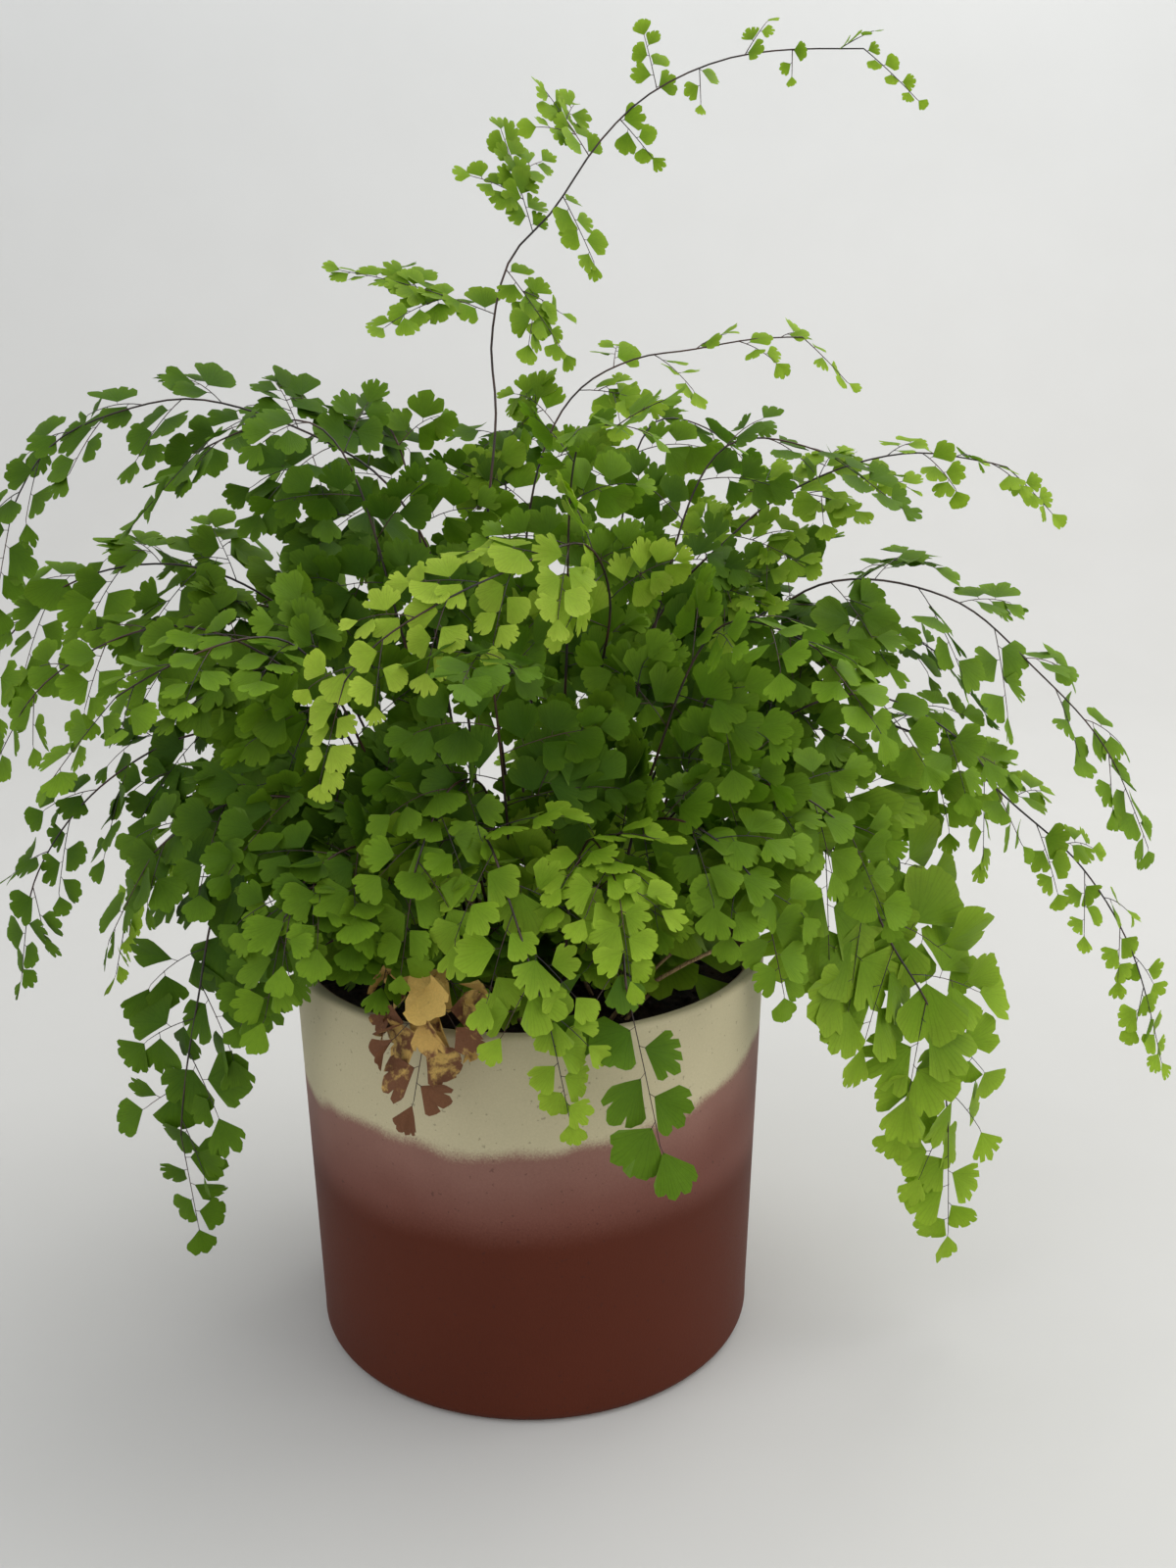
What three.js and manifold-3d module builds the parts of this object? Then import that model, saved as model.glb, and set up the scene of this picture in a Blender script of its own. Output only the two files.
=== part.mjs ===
// A maidenhair fern growing in a straight ceramic pot.
// Millimetres, +Z up; the origin is the middle of the pot's underside, -Y is the front.
//
// The pot is a turned cup, filled with soil. Each frond is one wiry stem that stands in a plain
// hole in the soil, arches out and carries alternate side branches with fan-shaped, lobed leaflets.
import * as THREE from 'three';
import { mergeVertices } from 'three/addons/utils/BufferGeometryUtils.js';
import Module from 'manifold-3d';

const wasm = await Module();
wasm.setup();

// ---- Pot and soil -------------------------------------------------------------------------
const POT_HEIGHT = 144;
const POT_BASE_RADIUS = 80;
const POT_TOP_RADIUS = 84;
const POT_WALL = 5;
const POT_FLOOR = 7;
const BASE_ROUND = 4;
const RIM_ROUND = 1.8;
const BASE_CHAMFER = 0.3; // where the base's rounding has its middle corner
const RIM_CHAMFER = 0.6; // how far in the rim's flat top starts, against its rounding
const SIDES_AROUND = 36;
const FIT_GAP = 0.3; // left between pieces that touch

const SOIL_CROWN = 134; // height of the soil in the middle
const SOIL_FALL = 6; // how much lower it lies at the wall
const SOIL_LUMP = 1.4;
const SOIL_RINGS = [0.8, 0.45]; // shares of the soil's radius where its dome has corners
const SOIL_RIM = 1; // the soil is smooth this close to its edge and its middle
const HOLE_TOP = 5.6; // how far a hole's cutter reaches past the soil, lumps and all
const STEM_DEPTH = 14;
const HOLE_RADIUS = 2.5;
const HOLE_SIDES = 4;

// ---- Stems and leaflets -------------------------------------------------------------------
const STEM_RADIUS = 0.9;
const STEM_SIDES = 3;
const STEM_STEP = 34; // length of one straight stretch of stem
const ROUTE_STEP = 4; // distance between the points that stand for a stem's smooth route
const STEM_RISE = 22; // upright stretch above the soil, so that no bend starts in the hole
const RIB_HALF = 0.45;
const LEAF_THICKNESS = 0.6;
const SMALLEST_STEP = 0.08; // finer steps where a branch meets its stem are left out
const SAME_PLACE = 1e-4; // corners this close are the same corner
const CORNER_MERGES = [0.1, 0.08, 0.12]; // and corners closer together than this become one
const LEAF_GAP = 0.35; // clearance that a leaflet keeps from everything else
const LEAF_CURL = 0.011; // droop of a leaflet's margin, per mm of distance from the rib
const KEPT_BRANCH = 3; // one branch in three is modelled
const KEPT_LEAFLET = 3; // and one leaflet in three on it, the tip one included

const TIP_ROW = 2.4; // length, in leaflets, of the row that ends a stem
const TIP_SINK = 2; // how far that row starts inside the stem
const TIP_SAG = 0.1;
const BRANCH_SPREAD = 1.15; // angle between the lowest branch and its stem
const BRANCH_CLOSING = 0.45; // how much smaller the highest one's is
const BRANCH_TURN = 0.5; // range of the random turns of the branches in their plane
const BRANCH_TILT = 0.9; // and of their blades out of it
const BRANCH_TAPER = 0.9;
const SHORTEST_BRANCH = 1.1; // in leaflets
const LEAST_SAG = 0.22; // a branch's fall against its length
const SAG_RANGE = 0.2;

const LEAFLET_PITCH = 0.42; // distance between leaflets against their length
const FEWEST_LEAFLETS = 2;
const FIRST_LEAFLET = 0.2; // place of the first leaflet on its branch
const LEAFLET_RANGE = 0.62; // and how much further out the last one is
const LEAFLET_SPREAD = 1.05; // angle between the first leaflet and the branch
const LEAFLET_CLOSING = 0.45;
const LEAFLET_SHRINK = 0.22; // how much smaller a branch's last leaflet is than its first

const SHADES = {
  dark: 0x3c6a2b,
  mid: 0x4f8a2c,
  bright: 0x7fae3c,
  gold: 0x9bbc4a,
  withered: 0xb99a4e,
};

// The fronds that can be told apart, from the back round to the front. leaf is the length of the
// largest leaflet and tip the size of the last ones against it; bare is the share of the stem
// without branches, reach the longest branch and taper how fast the others shorten; row is the
// length, in leaflets, of the row that ends the stem. face is the side that the frond's plane turns
// to and lift how far its leaflets turn up out of it. root is the place in the soil; points is the
// stem's route.
const NAMED_FRONDS = [
  {
    name: 'frond_tall_back', shade: 'bright', leaf: 14, tip: 0.5,
    bare: 0.53, branches: 11, reach: 76, taper: 2, face: [0, -1, 0.45], lift: 0.6,
    root: [-4, 24], points: [[-14, 32, 270], [-9, 40, 328], [-10, 44, 353], [-3, 48, 380],
      [12, 50, 396], [29, 50, 419], [46, 50, 434], [73, 48, 445], [109, 42, 447], [132, 34, 443],
      [138, 28, 428]],
  },
  {
    name: 'frond_right_upper', shade: 'bright', leaf: 12, tip: 0.6,
    bare: 0.5, branches: 9, reach: 42, face: [0, -0.6, 1], lift: 0.4,
    root: [8, 38], points: [[0, 48, 270], [9, 50, 317], [22, 56, 336], [42, 60, 346], [62, 60, 349],
      [90, 58, 353], [112, 54, 351], [122, 50, 336]],
  },
  {
    name: 'frond_left_arch', shade: 'dark', leaf: 15, tip: 0.9,
    bare: 0.48, branches: 12, reach: 50, face: [0, -0.55, 1], lift: 0.3,
    root: [-16, 12], points: [[-28, 22, 266], [-46, 22, 304], [-70, 22, 321], [-109, 20, 334],
      [-133, 18, 331], [-158, 16, 320], [-173, 12, 298], [-182, 8, 264]],
  },
  {
    name: 'frond_left_far', shade: 'mid', leaf: 15, tip: 0.9,
    bare: 0.4, branches: 12, reach: 56, face: [-0.1, -0.6, 1], lift: 0.2,
    root: [-30, 22], points: [[-60, 34, 232], [-112, 34, 274], [-158, 28, 272], [-190, 22, 242],
      [-203, 18, 196]],
  },
  {
    name: 'frond_left_low', shade: 'dark', leaf: 13, tip: 0.8,
    bare: 0.4, branches: 9, reach: 50, face: [-0.3, -0.7, 0.8], lift: 0.2,
    root: [-44, 6], points: [[-66, 4, 200], [-108, 4, 222], [-146, 0, 206], [-172, -4, 174],
      [-182, -6, 132]],
  },
  {
    name: 'frond_left_hanging', shade: 'dark', leaf: 17, tip: 0.6,
    bare: 0.45, branches: 9, reach: 34, face: [-0.4, -1, 0.4], lift: 0,
    root: [-36, -18], points: [[-54, -20, 190], [-76, -30, 206], [-94, -38, 196], [-104, -42, 172],
      [-110, -45, 145], [-117, -46, 112], [-120, -46, 84], [-116, -44, 53]],
  },
  {
    name: 'frond_left_middle', shade: 'mid', leaf: 14, tip: 0.8,
    bare: 0.38, branches: 9, reach: 54, face: [-0.2, -0.7, 0.9], lift: 0.1,
    root: [-40, -6], points: [[-70, 2, 232], [-116, 0, 260], [-160, -6, 244], [-188, -10, 204]],
  },
  {
    name: 'frond_left_front', shade: 'dark', leaf: 15, tip: 0.8,
    bare: 0.34, branches: 9, reach: 54, face: [-0.3, -0.8, 0.8], lift: 0,
    root: [-30, -24], points: [[-52, -38, 200], [-86, -52, 214], [-116, -60, 200],
      [-136, -64, 168]],
  },
  {
    name: 'frond_front_left', shade: 'dark', leaf: 14, tip: 0.8,
    bare: 0.36, branches: 9, reach: 46, face: [-0.2, -1, 0.7], lift: 0,
    root: [-22, -34], points: [[-36, -46, 192], [-58, -66, 200], [-78, -82, 182], [-90, -90, 150]],
  },
  {
    name: 'frond_right_arch', shade: 'bright', leaf: 10.5, tip: 0.7,
    bare: 0.46, branches: 12, reach: 46, face: [0, -0.5, 1], lift: 0.3,
    root: [12, 8], points: [[24, 10, 210], [52, 8, 268], [70, 8, 286], [84, 8, 298], [108, 6, 310],
      [131, 4, 315], [151, 4, 313], [169, 2, 308], [183, 0, 294]],
  },
  {
    name: 'frond_right_shoulder', shade: 'mid', leaf: 15, tip: 0.8,
    bare: 0.36, branches: 12, reach: 54, face: [0.1, -0.6, 1], lift: 0.1,
    root: [32, 22], points: [[58, 24, 220], [104, 20, 268], [150, 13, 264], [182, 8, 238],
      [206, 4, 212], [228, 2, 170]],
  },
  {
    name: 'frond_right_far', shade: 'bright', leaf: 11.5, tip: 0.8,
    bare: 0.44, branches: 12, reach: 36, face: [0.2, -0.7, 0.8], lift: 0.2,
    root: [46, 4], points: [[64, 6, 188], [104, 8, 222], [144, 8, 214], [180, 8, 186],
      [203, 8, 165], [224, 8, 133], [241, 6, 84]],
  },
  {
    name: 'frond_right_hanging', shade: 'bright', leaf: 19, tip: 0.75,
    bare: 0.36, branches: 12, reach: 46, face: [0.35, -1, 0.35], lift: 0,
    root: [38, -16], points: [[50, -20, 176], [72, -26, 194], [98, -30, 190], [114, -31, 172],
      [124, -32, 152], [139, -34, 126], [146, -34, 94], [149, -34, 46]],
  },
  {
    name: 'frond_right_middle', shade: 'mid', leaf: 14, tip: 0.8,
    bare: 0.36, branches: 9, reach: 52, face: [0.2, -0.7, 0.9], lift: 0.1,
    root: [40, 14], points: [[72, -2, 212], [112, -14, 236], [148, -22, 220], [172, -26, 182]],
  },
  {
    name: 'frond_right_front', shade: 'mid', leaf: 14, tip: 0.8,
    bare: 0.34, branches: 9, reach: 50, face: [0.2, -0.9, 0.8], lift: 0,
    root: [34, -4], points: [[52, -24, 200], [80, -42, 212], [104, -52, 198], [118, -56, 168]],
  },
  {
    name: 'frond_front_right', shade: 'mid', leaf: 14, tip: 0.8,
    bare: 0.32, branches: 9, reach: 48, face: [0.1, -1, 0.7], lift: 0,
    root: [20, -20], points: [[30, -40, 196], [50, -62, 206], [70, -76, 190], [80, -83, 152]],
  },
  {
    name: 'frond_front_middle', shade: 'mid', leaf: 14, tip: 0.8,
    bare: 0.4, branches: 9, reach: 34, face: [0, -1, 0.6], lift: 0,
    root: [-10, -24], points: [[-14, -46, 214], [-24, -68, 220], [-34, -86, 200], [-40, -92, 166]],
  },
  {
    name: 'frond_golden', shade: 'gold', leaf: 14, tip: 0.7,
    bare: 0.46, branches: 12, reach: 36, face: [0.1, -0.8, 0.8], lift: 0,
    root: [10, -12], points: [[20, -24, 226], [27, -40, 274], [18, -56, 293], [-3, -72, 288],
      [-26, -84, 279], [-45, -92, 267], [-57, -97, 249], [-61, -98, 228]],
  },
  {
    name: 'frond_front_bright', shade: 'bright', leaf: 14, tip: 0.5,
    bare: 0.4, branches: 9, reach: 38, face: [0, -0.9, 0.5], lift: 0,
    root: [-12, -34], points: [[-16, -46, 184], [-18, -60, 204], [-12, -79, 206], [-5, -94, 189],
      [2, -104, 168], [8, -110, 149], [12, -112, 126]],
  },
  {
    name: 'frond_front_dark', shade: 'dark', leaf: 17, tip: 1,
    bare: 0.42, branches: 2, reach: 20, row: 3.3, face: [0.1, -1, 0.3], lift: 0,
    root: [22, -36], points: [[26, -60, 168], [28, -82, 174], [29, -98, 162], [35, -107, 142],
      [38, -110, 126], [40, -111, 104]],
  },
  {
    name: 'frond_withered', shade: 'withered', leaf: 13, tip: 0.9,
    bare: 0.5, branches: 6, reach: 18, face: [-0.2, -1, 0.3], lift: 0,
    root: [-18, -42], points: [[-26, -64, 160], [-30, -82, 163], [-31, -94, 157], [-34, -101, 148],
      [-37, -103, 129]],
  },
];

// The others fill the plant in three tiers round the pot. apex and end are [radius, height].
const OTHER_FRONDS = 18;
const OTHER_BRANCHES = 9;
const OTHER_TIP = 0.8;
const OTHER_LIFT = 0.15;
const GOLDEN_TURN = 2.39996;
const FIRST_TURN = 0.35;
const TIERS = [
  { level: 'low', root: 52, apex: [98, 196], end: [150, 128], leaf: 14, reach: 44, bare: 0.36 },
  { level: 'middle', root: 40, apex: [104, 265], end: [168, 216], leaf: 15, reach: 52, bare: 0.38 },
  { level: 'upper', root: 24, apex: [72, 322], end: [126, 296], leaf: 14, reach: 48, bare: 0.42 },
];
const RISE = [0.42, 0.62]; // first turning point of the route: radius and height against the apex
const APEX_INSET = 0.9;
const RISE_BEND = 0.3; // share of the sideways bend reached there
const END_BEND = 0.5; // and at the end
const FALL = [0.54, 0.65]; // last turning point: radius, and share of the apex in its height
const FACE_OUT = 0.3; // how far a frond's plane turns outwards
const FACE_FRONT = 0.25; // and to the front
const FRONT_LIFT = 48; // how much higher the tips hang in front, where the pot shows
const FRONT_PULL = 34; // and how much closer in
const SCATTER = 14; // range of the random shifts of the routes
const LEAF_SCATTER = 0.15;
const OTHER_SHADES = ['mid', 'dark', 'mid', 'bright', 'mid', 'dark'];
const SEED = 3;
// Second keys of the random numbers that the branches of a frond draw.
const DRAW = { turn: 20, sag: 40, tiltOut: 60, tiltOn: 80 };

// A number from 0 to 1 that looks random and is the same each time for the same two keys.
function scatter(first, second) {
  const wave = Math.sin(first * 12.9898 + second * 78.233 + SEED) * 43758.5453;
  return wave - Math.floor(wave);
}

const UP = new THREE.Vector3(0, 0, 1);

function vector(list) {
  return new THREE.Vector3(...list);
}

// ---- Solids -------------------------------------------------------------------------------
// Turns a closed geometry into a solid that can be cut, joined and measured.
function solidOf(geometry) {
  geometry.deleteAttribute('normal');
  geometry.deleteAttribute('uv');
  const joined = mergeVertices(geometry, SAME_PLACE);
  const mesh = new wasm.Mesh({
    numProp: 3,
    vertProperties: new Float32Array(joined.attributes.position.array),
    triVerts: new Uint32Array(joined.index.array),
  });
  return new wasm.Manifold(mesh);
}

// Turns a solid into a named mesh with its own material, its triangles in order from the last.
function meshOf(solid, name, color, roughness) {
  const data = solid.getMesh();
  const geometry = new THREE.BufferGeometry();
  const corners = Array.from(data.triVerts);
  const triangles = corners.map((_, index) => corners.slice(3 * index, 3 * index + 3)).reverse();
  geometry.setAttribute('position', new THREE.BufferAttribute(data.vertProperties, 3));
  geometry.setIndex(triangles.flat());
  geometry.computeVertexNormals();
  const material = new THREE.MeshStandardMaterial({ color, roughness, metalness: 0 });
  const mesh = new THREE.Mesh(geometry, material);
  mesh.name = name;
  return mesh;
}

// The corners of a solid's triangles, those closer together than the step made one.
function mergedCorners(solid, step) {
  const data = solid.getMesh();
  const geometry = new THREE.BufferGeometry();
  geometry.setAttribute('position', new THREE.BufferAttribute(data.vertProperties, 3));
  geometry.setIndex(new THREE.BufferAttribute(data.triVerts, 1));
  const merged = mergeVertices(geometry, step);
  const triangles = [];
  const corners = Array.from(merged.index.array);
  for (let index = 0; index < corners.length; index += 3) {
    const triangle = corners.slice(index, index + 3);
    if (new Set(triangle).size === 3) {
      triangles.push(triangle);
    }
  }
  return { positions: merged.attributes.position.array, triangles };
}

// Whether every edge of the solid is shared by just two of its triangles.
function isWhole(solid) {
  const { triangles } = mergedCorners(solid, SAME_PLACE);
  const edges = new Set();
  for (const triangle of triangles) {
    triangle.forEach((corner, side) => edges.add(`${corner} ${triangle[(side + 1) % 3]}`));
  }
  return edges.size === 3 * triangles.length;
}

// The solid without slivers, by the first merging step that keeps it whole.
function withoutSlivers(solid) {
  for (const step of CORNER_MERGES) {
    const { positions, triangles } = mergedCorners(solid, step);
    const mesh = new wasm.Mesh({
      numProp: 3,
      vertProperties: positions,
      triVerts: new Uint32Array(triangles.flat()),
    });
    const merged = new wasm.Manifold(mesh);
    if (isWhole(merged)) {
      return merged;
    }
  }
  return solid;
}

// A turned solid: the profile's [radius, height] points run from the axis round to the axis.
function turned(profile) {
  const points = profile.map(([radius, height]) => new THREE.Vector2(radius, height));
  const geometry = new THREE.LatheGeometry(points, SIDES_AROUND);
  geometry.rotateX(Math.PI / 2);
  return solidOf(geometry);
}

// ---- Pot ----------------------------------------------------------------------------------
function innerRadius(height) {
  const rise = (height - POT_FLOOR) / (POT_HEIGHT - POT_FLOOR);
  return POT_BASE_RADIUS - POT_WALL + (POT_TOP_RADIUS - POT_BASE_RADIUS) * rise;
}

function potMesh() {
  const rim = POT_HEIGHT - RIM_ROUND;
  const lip = POT_TOP_RADIUS - POT_WALL;
  const profile = [
    [0, 0],
    [POT_BASE_RADIUS - BASE_ROUND, 0],
    [POT_BASE_RADIUS - BASE_ROUND * BASE_CHAMFER, BASE_ROUND * BASE_CHAMFER],
    [POT_BASE_RADIUS, BASE_ROUND],
    [POT_TOP_RADIUS, rim],
    [POT_TOP_RADIUS - RIM_ROUND * RIM_CHAMFER, POT_HEIGHT],
    [lip + RIM_ROUND * RIM_CHAMFER, POT_HEIGHT],
    [lip, rim],
    [innerRadius(POT_FLOOR), POT_FLOOR],
    [0, POT_FLOOR],
  ];
  return { solid: turned(profile), name: 'pot', color: 0xa79f8b, roughness: 0.55 };
}

// ---- Soil ---------------------------------------------------------------------------------
function soilTop(radius) {
  return SOIL_CROWN - SOIL_FALL * (radius / POT_BASE_RADIUS) ** 2;
}

// The filling: a turned body with a low, lumpy dome, less one plain hole for each stem.
function soilMesh(fronds) {
  const edge = innerRadius(SOIL_CROWN - SOIL_FALL) - FIT_GAP;
  const profile = [
    [0, POT_FLOOR + FIT_GAP],
    [innerRadius(POT_FLOOR) - FIT_GAP, POT_FLOOR + FIT_GAP],
    [edge, soilTop(edge)],
    ...SOIL_RINGS.map((share) => [edge * share, soilTop(edge * share)]),
    [0, soilTop(0)],
  ];
  const lumpy = turned(profile).warp((point) => {
    const radius = Math.hypot(point[0], point[1]);
    if (point[2] > POT_HEIGHT / 2 && radius > SOIL_RIM && radius < edge - SOIL_RIM) {
      point[2] -= SOIL_LUMP * scatter(Math.round(point[0]), Math.round(point[1]));
    }
  });
  const holes = fronds.map((frond) => {
    const [x, y] = frond.root;
    const height = STEM_DEPTH + FIT_GAP + HOLE_TOP;
    const hole = new THREE.CylinderGeometry(HOLE_RADIUS, HOLE_RADIUS, height, HOLE_SIDES);
    hole.rotateX(Math.PI / 2);
    hole.translate(x, y, stemFoot(frond) - FIT_GAP + height / 2);
    return solidOf(hole);
  });
  const solid = holes.reduce((body, hole) => body.subtract(hole), lumpy);
  return { solid, name: 'soil', color: 0x2a211c, roughness: 0.95 };
}

// ---- Fronds -------------------------------------------------------------------------------
// A frond of one tier, turned by the golden angle from the one before.
function otherFrond(index) {
  const tier = TIERS[index % TIERS.length];
  const turn = FIRST_TURN + GOLDEN_TURN * index;
  const shift = (key) => SCATTER * (scatter(index, key) - 0.5);
  const out = [Math.cos(turn), Math.sin(turn)];
  const front = Math.max(0, -out[1]) ** 2;
  const endRadius = tier.end[0] + shift(1) - FRONT_PULL * front;
  const endHeight = tier.end[1] + shift(2) + FRONT_LIFT * front;
  const apexRadius = tier.apex[0] + shift(3) - (FRONT_PULL / 2) * front;
  const apexHeight = tier.apex[1] + shift(4);
  const bend = shift(5);
  const riseHeight = soilTop(0) + (apexHeight - soilTop(0)) * RISE[1];
  const fallHeight = apexHeight * FALL[1] + endHeight * (1 - FALL[1]);
  const at = (radius, height, side) => [
    out[0] * radius - out[1] * side,
    out[1] * radius + out[0] * side,
    height,
  ];
  return {
    name: `frond_${tier.level}_${index + 1}`,
    shade: OTHER_SHADES[index % OTHER_SHADES.length],
    leaf: tier.leaf + shift(6) * LEAF_SCATTER,
    tip: OTHER_TIP,
    bare: tier.bare,
    branches: OTHER_BRANCHES,
    reach: tier.reach,
    face: [out[0] * FACE_OUT, out[1] * FACE_OUT - FACE_FRONT, 1],
    lift: OTHER_LIFT,
    root: at(tier.root, 0, 0).slice(0, 2),
    points: [
      at((tier.root + apexRadius) * RISE[0], riseHeight, bend * RISE_BEND),
      at(apexRadius * APEX_INSET, apexHeight, bend),
      at((apexRadius + endRadius) * FALL[0], fallHeight, bend),
      at(endRadius, endHeight, bend * END_BEND),
    ],
  };
}

function stemFoot(frond) {
  return soilTop(Math.hypot(...frond.root)) - STEM_DEPTH;
}

// The straight-sided stem: foot upright in its hole, then along the frond's route as far as the row
// of leaflets that ends it.
function stemOf(frond) {
  const [x, y] = frond.root;
  const foot = stemFoot(frond);
  const upright = [foot, foot + STEM_DEPTH, foot + STEM_DEPTH + STEM_RISE];
  const knots = [...upright.map((height) => [x, y, height]), ...frond.points].map(vector);
  const route = new THREE.CatmullRomCurve3(knots);
  const length = route.getLength();
  const last = 1 - ((frond.row ?? TIP_ROW) * frond.leaf) / length;
  const end = last + TIP_SINK / length;
  const fine = Math.round(length / ROUTE_STEP);
  const points = Array.from({ length: fine + 1 }, (_, index) => route.getPointAt((end * index) / fine));
  const path = new THREE.CatmullRomCurve3(points);
  const steps = Math.ceil((end * length) / STEM_STEP);
  const section = new THREE.Shape();
  for (let side = 0; side < STEM_SIDES; side += 1) {
    const angle = (2 * Math.PI * side) / STEM_SIDES;
    section.lineTo(STEM_RADIUS * Math.cos(angle), STEM_RADIUS * Math.sin(angle));
  }
  const geometry = new THREE.ExtrudeGeometry(section, { steps, extrudePath: path });
  return { solid: solidOf(geometry), route, last, end, stations: path.getSpacedPoints(steps) };
}

// The point and direction at a share of the route's length, on the stem's straight stretches.
function alongStem(stem, share) {
  const place = (share / stem.end) * (stem.stations.length - 1);
  const step = Math.floor(place);
  const point = stem.stations[step].clone().lerp(stem.stations[step + 1], place - step);
  return { point, heading: stem.route.getTangentAt(share) };
}

// One side branch of a frond: where it starts, how it runs and how many leaflets it bears.
function sideBranch(frond, stem, index, key) {
  const share = (index + 0.5) / frond.branches;
  const { point, heading } = alongStem(stem, frond.bare + (stem.last - frond.bare) * share);
  const across = new THREE.Vector3().crossVectors(heading, vector(frond.face)).normalize();
  const side = index % 2 ? 1 : -1;
  const turn = BRANCH_TURN * (scatter(key, index + DRAW.turn) - 0.5);
  const spread = BRANCH_SPREAD - BRANCH_CLOSING * share + turn;
  const direction = heading.clone().multiplyScalar(Math.cos(spread));
  direction.addScaledVector(across, side * Math.sin(spread));
  const shortest = SHORTEST_BRANCH * frond.leaf;
  const shorter = (1 - share) ** (frond.taper ?? BRANCH_TAPER);
  const length = shortest + (frond.reach - shortest) * shorter;
  const sag = LEAST_SAG + SAG_RANGE * scatter(key, index + DRAW.sag);
  return { point, heading, across, direction, sag, length, share };
}

// The row of leaflets that ends a frond, from the stem's end to the end of the route.
function tipBranch(frond, stem) {
  const { point, heading } = alongStem(stem, stem.last);
  const across = new THREE.Vector3().crossVectors(heading, vector(frond.face)).normalize();
  const direction = stem.route.getPointAt(1).sub(point);
  const length = direction.length();
  return { point, heading, across, direction, sag: TIP_SAG, length, share: 1 };
}

// A branch with the side that its blade faces: square to the frond's plane, lifted, and tilted at
// random.
function branchOf(frond, stem, index, key) {
  const atTip = index === frond.branches;
  const branch = atTip ? tipBranch(frond, stem) : sideBranch(frond, stem, index, key);
  const tilt = (slot) => BRANCH_TILT * (scatter(key, index + slot) - 0.5);
  const facing = new THREE.Vector3().crossVectors(branch.across, branch.heading).normalize();
  facing.multiplyScalar(1 - frond.lift).addScaledVector(UP, frond.lift);
  facing.addScaledVector(branch.across, tilt(DRAW.tiltOut));
  facing.addScaledVector(branch.heading, tilt(DRAW.tiltOn));
  const count = Math.max(FEWEST_LEAFLETS, Math.round(branch.length / (LEAFLET_PITCH * frond.leaf)));
  return { ...branch, direction: branch.direction.normalize(), facing, count, index };
}

// The place of one leaflet on its branch: distance along, side, direction and length.
function leafletOf(frond, branch, number) {
  const share = number / (branch.count - 1);
  const atTip = number === branch.count - 1;
  return {
    atTip,
    along: branch.length * (FIRST_LEAFLET + LEAFLET_RANGE * share),
    side: (number + branch.index) % 2 ? 1 : -1,
    spread: atTip ? 0 : LEAFLET_SPREAD - LEAFLET_CLOSING * share,
    length: frond.leaf * (1 - (1 - frond.tip) * branch.share) * (1 - LEAFLET_SHRINK * share),
  };
}

// The edge of a fan-shaped leaflet with two lobes, from one side of its narrow foot to the other,
// as [distance out, distance across] in parts of its length.
const LEAFLET_EDGE = [[0.52, -0.44], [1, -0.2], [0.8, 0.06], [0.82, 0.42]];

// The outline of one leaflet with its foot on the rib, in the order that the branch's outline runs.
function leafletOutline({ along, side, spread, length, atTip }) {
  const axis = new THREE.Vector2(Math.cos(spread), side * Math.sin(spread));
  const cross = new THREE.Vector2(-axis.y, axis.x).multiplyScalar(side);
  const foot = new THREE.Vector2(along, atTip ? 0 : side * RIB_HALF);
  const half = atTip ? cross.clone() : new THREE.Vector2(-1, 0);
  const at = (out, over) => foot.clone()
    .addScaledVector(axis, out * length)
    .addScaledVector(cross, over * length);
  const outline = [
    foot.clone().addScaledVector(half, -RIB_HALF),
    ...LEAFLET_EDGE.map(([out, over]) => at(out, over)),
    foot.clone().addScaledVector(half, RIB_HALF),
  ];
  return side < 0 ? outline.reverse() : outline;
}

// The outline of a branch: out along one side of its rib, round the tip and back along the other,
// going round each leaflet.
function branchOutline(leaflets) {
  const sideways = (side) => leaflets.filter((leaflet) => !leaflet.atTip && leaflet.side === side);
  const tip = leaflets.find((leaflet) => leaflet.atTip);
  const end = Math.max(...leaflets.map((leaflet) => leaflet.along)) + 2 * RIB_HALF;
  const ending = [new THREE.Vector2(end, -RIB_HALF), new THREE.Vector2(end, RIB_HALF)];
  return [
    new THREE.Vector2(0, -RIB_HALF),
    ...sideways(-1).flatMap(leafletOutline),
    ...(tip ? leafletOutline(tip) : ending),
    ...sideways(1).reverse().flatMap(leafletOutline),
    new THREE.Vector2(0, RIB_HALF),
  ];
}

// Bends a flat outline into the branch's arched blade and gives it its thickness.
function arched(outline, branch) {
  const shape = new THREE.Shape(outline);
  const geometry = new THREE.ExtrudeGeometry(shape, { depth: LEAF_THICKNESS, bevelEnabled: false });
  const position = geometry.attributes.position;
  for (let index = 0; index < position.count; index += 1) {
    const along = position.getX(index) / branch.length;
    const across = position.getY(index);
    const above = position.getZ(index) - LEAF_THICKNESS / 2 - LEAF_CURL * across * across;
    const fall = new THREE.Vector3(0, 0, -branch.sag * along);
    const heading = branch.direction.clone().addScaledVector(fall, 2).normalize();
    const normal = branch.facing.clone().projectOnPlane(heading).normalize();
    const sideways = new THREE.Vector3().crossVectors(normal, heading);
    const point = branch.direction.clone().add(fall).multiplyScalar(along * branch.length);
    point.add(branch.point).addScaledVector(sideways, across).addScaledVector(normal, above);
    position.setXYZ(index, point.x, point.y, point.z);
  }
  return solidOf(geometry);
}

// ---- Keeping the fronds clear of each other -------------------------------------------------
function near(first, second) {
  return [0, 1, 2].every(
    (axis) => first.min[axis] - LEAF_GAP < second.max[axis]
      && second.min[axis] - LEAF_GAP < first.max[axis],
  );
}

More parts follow.
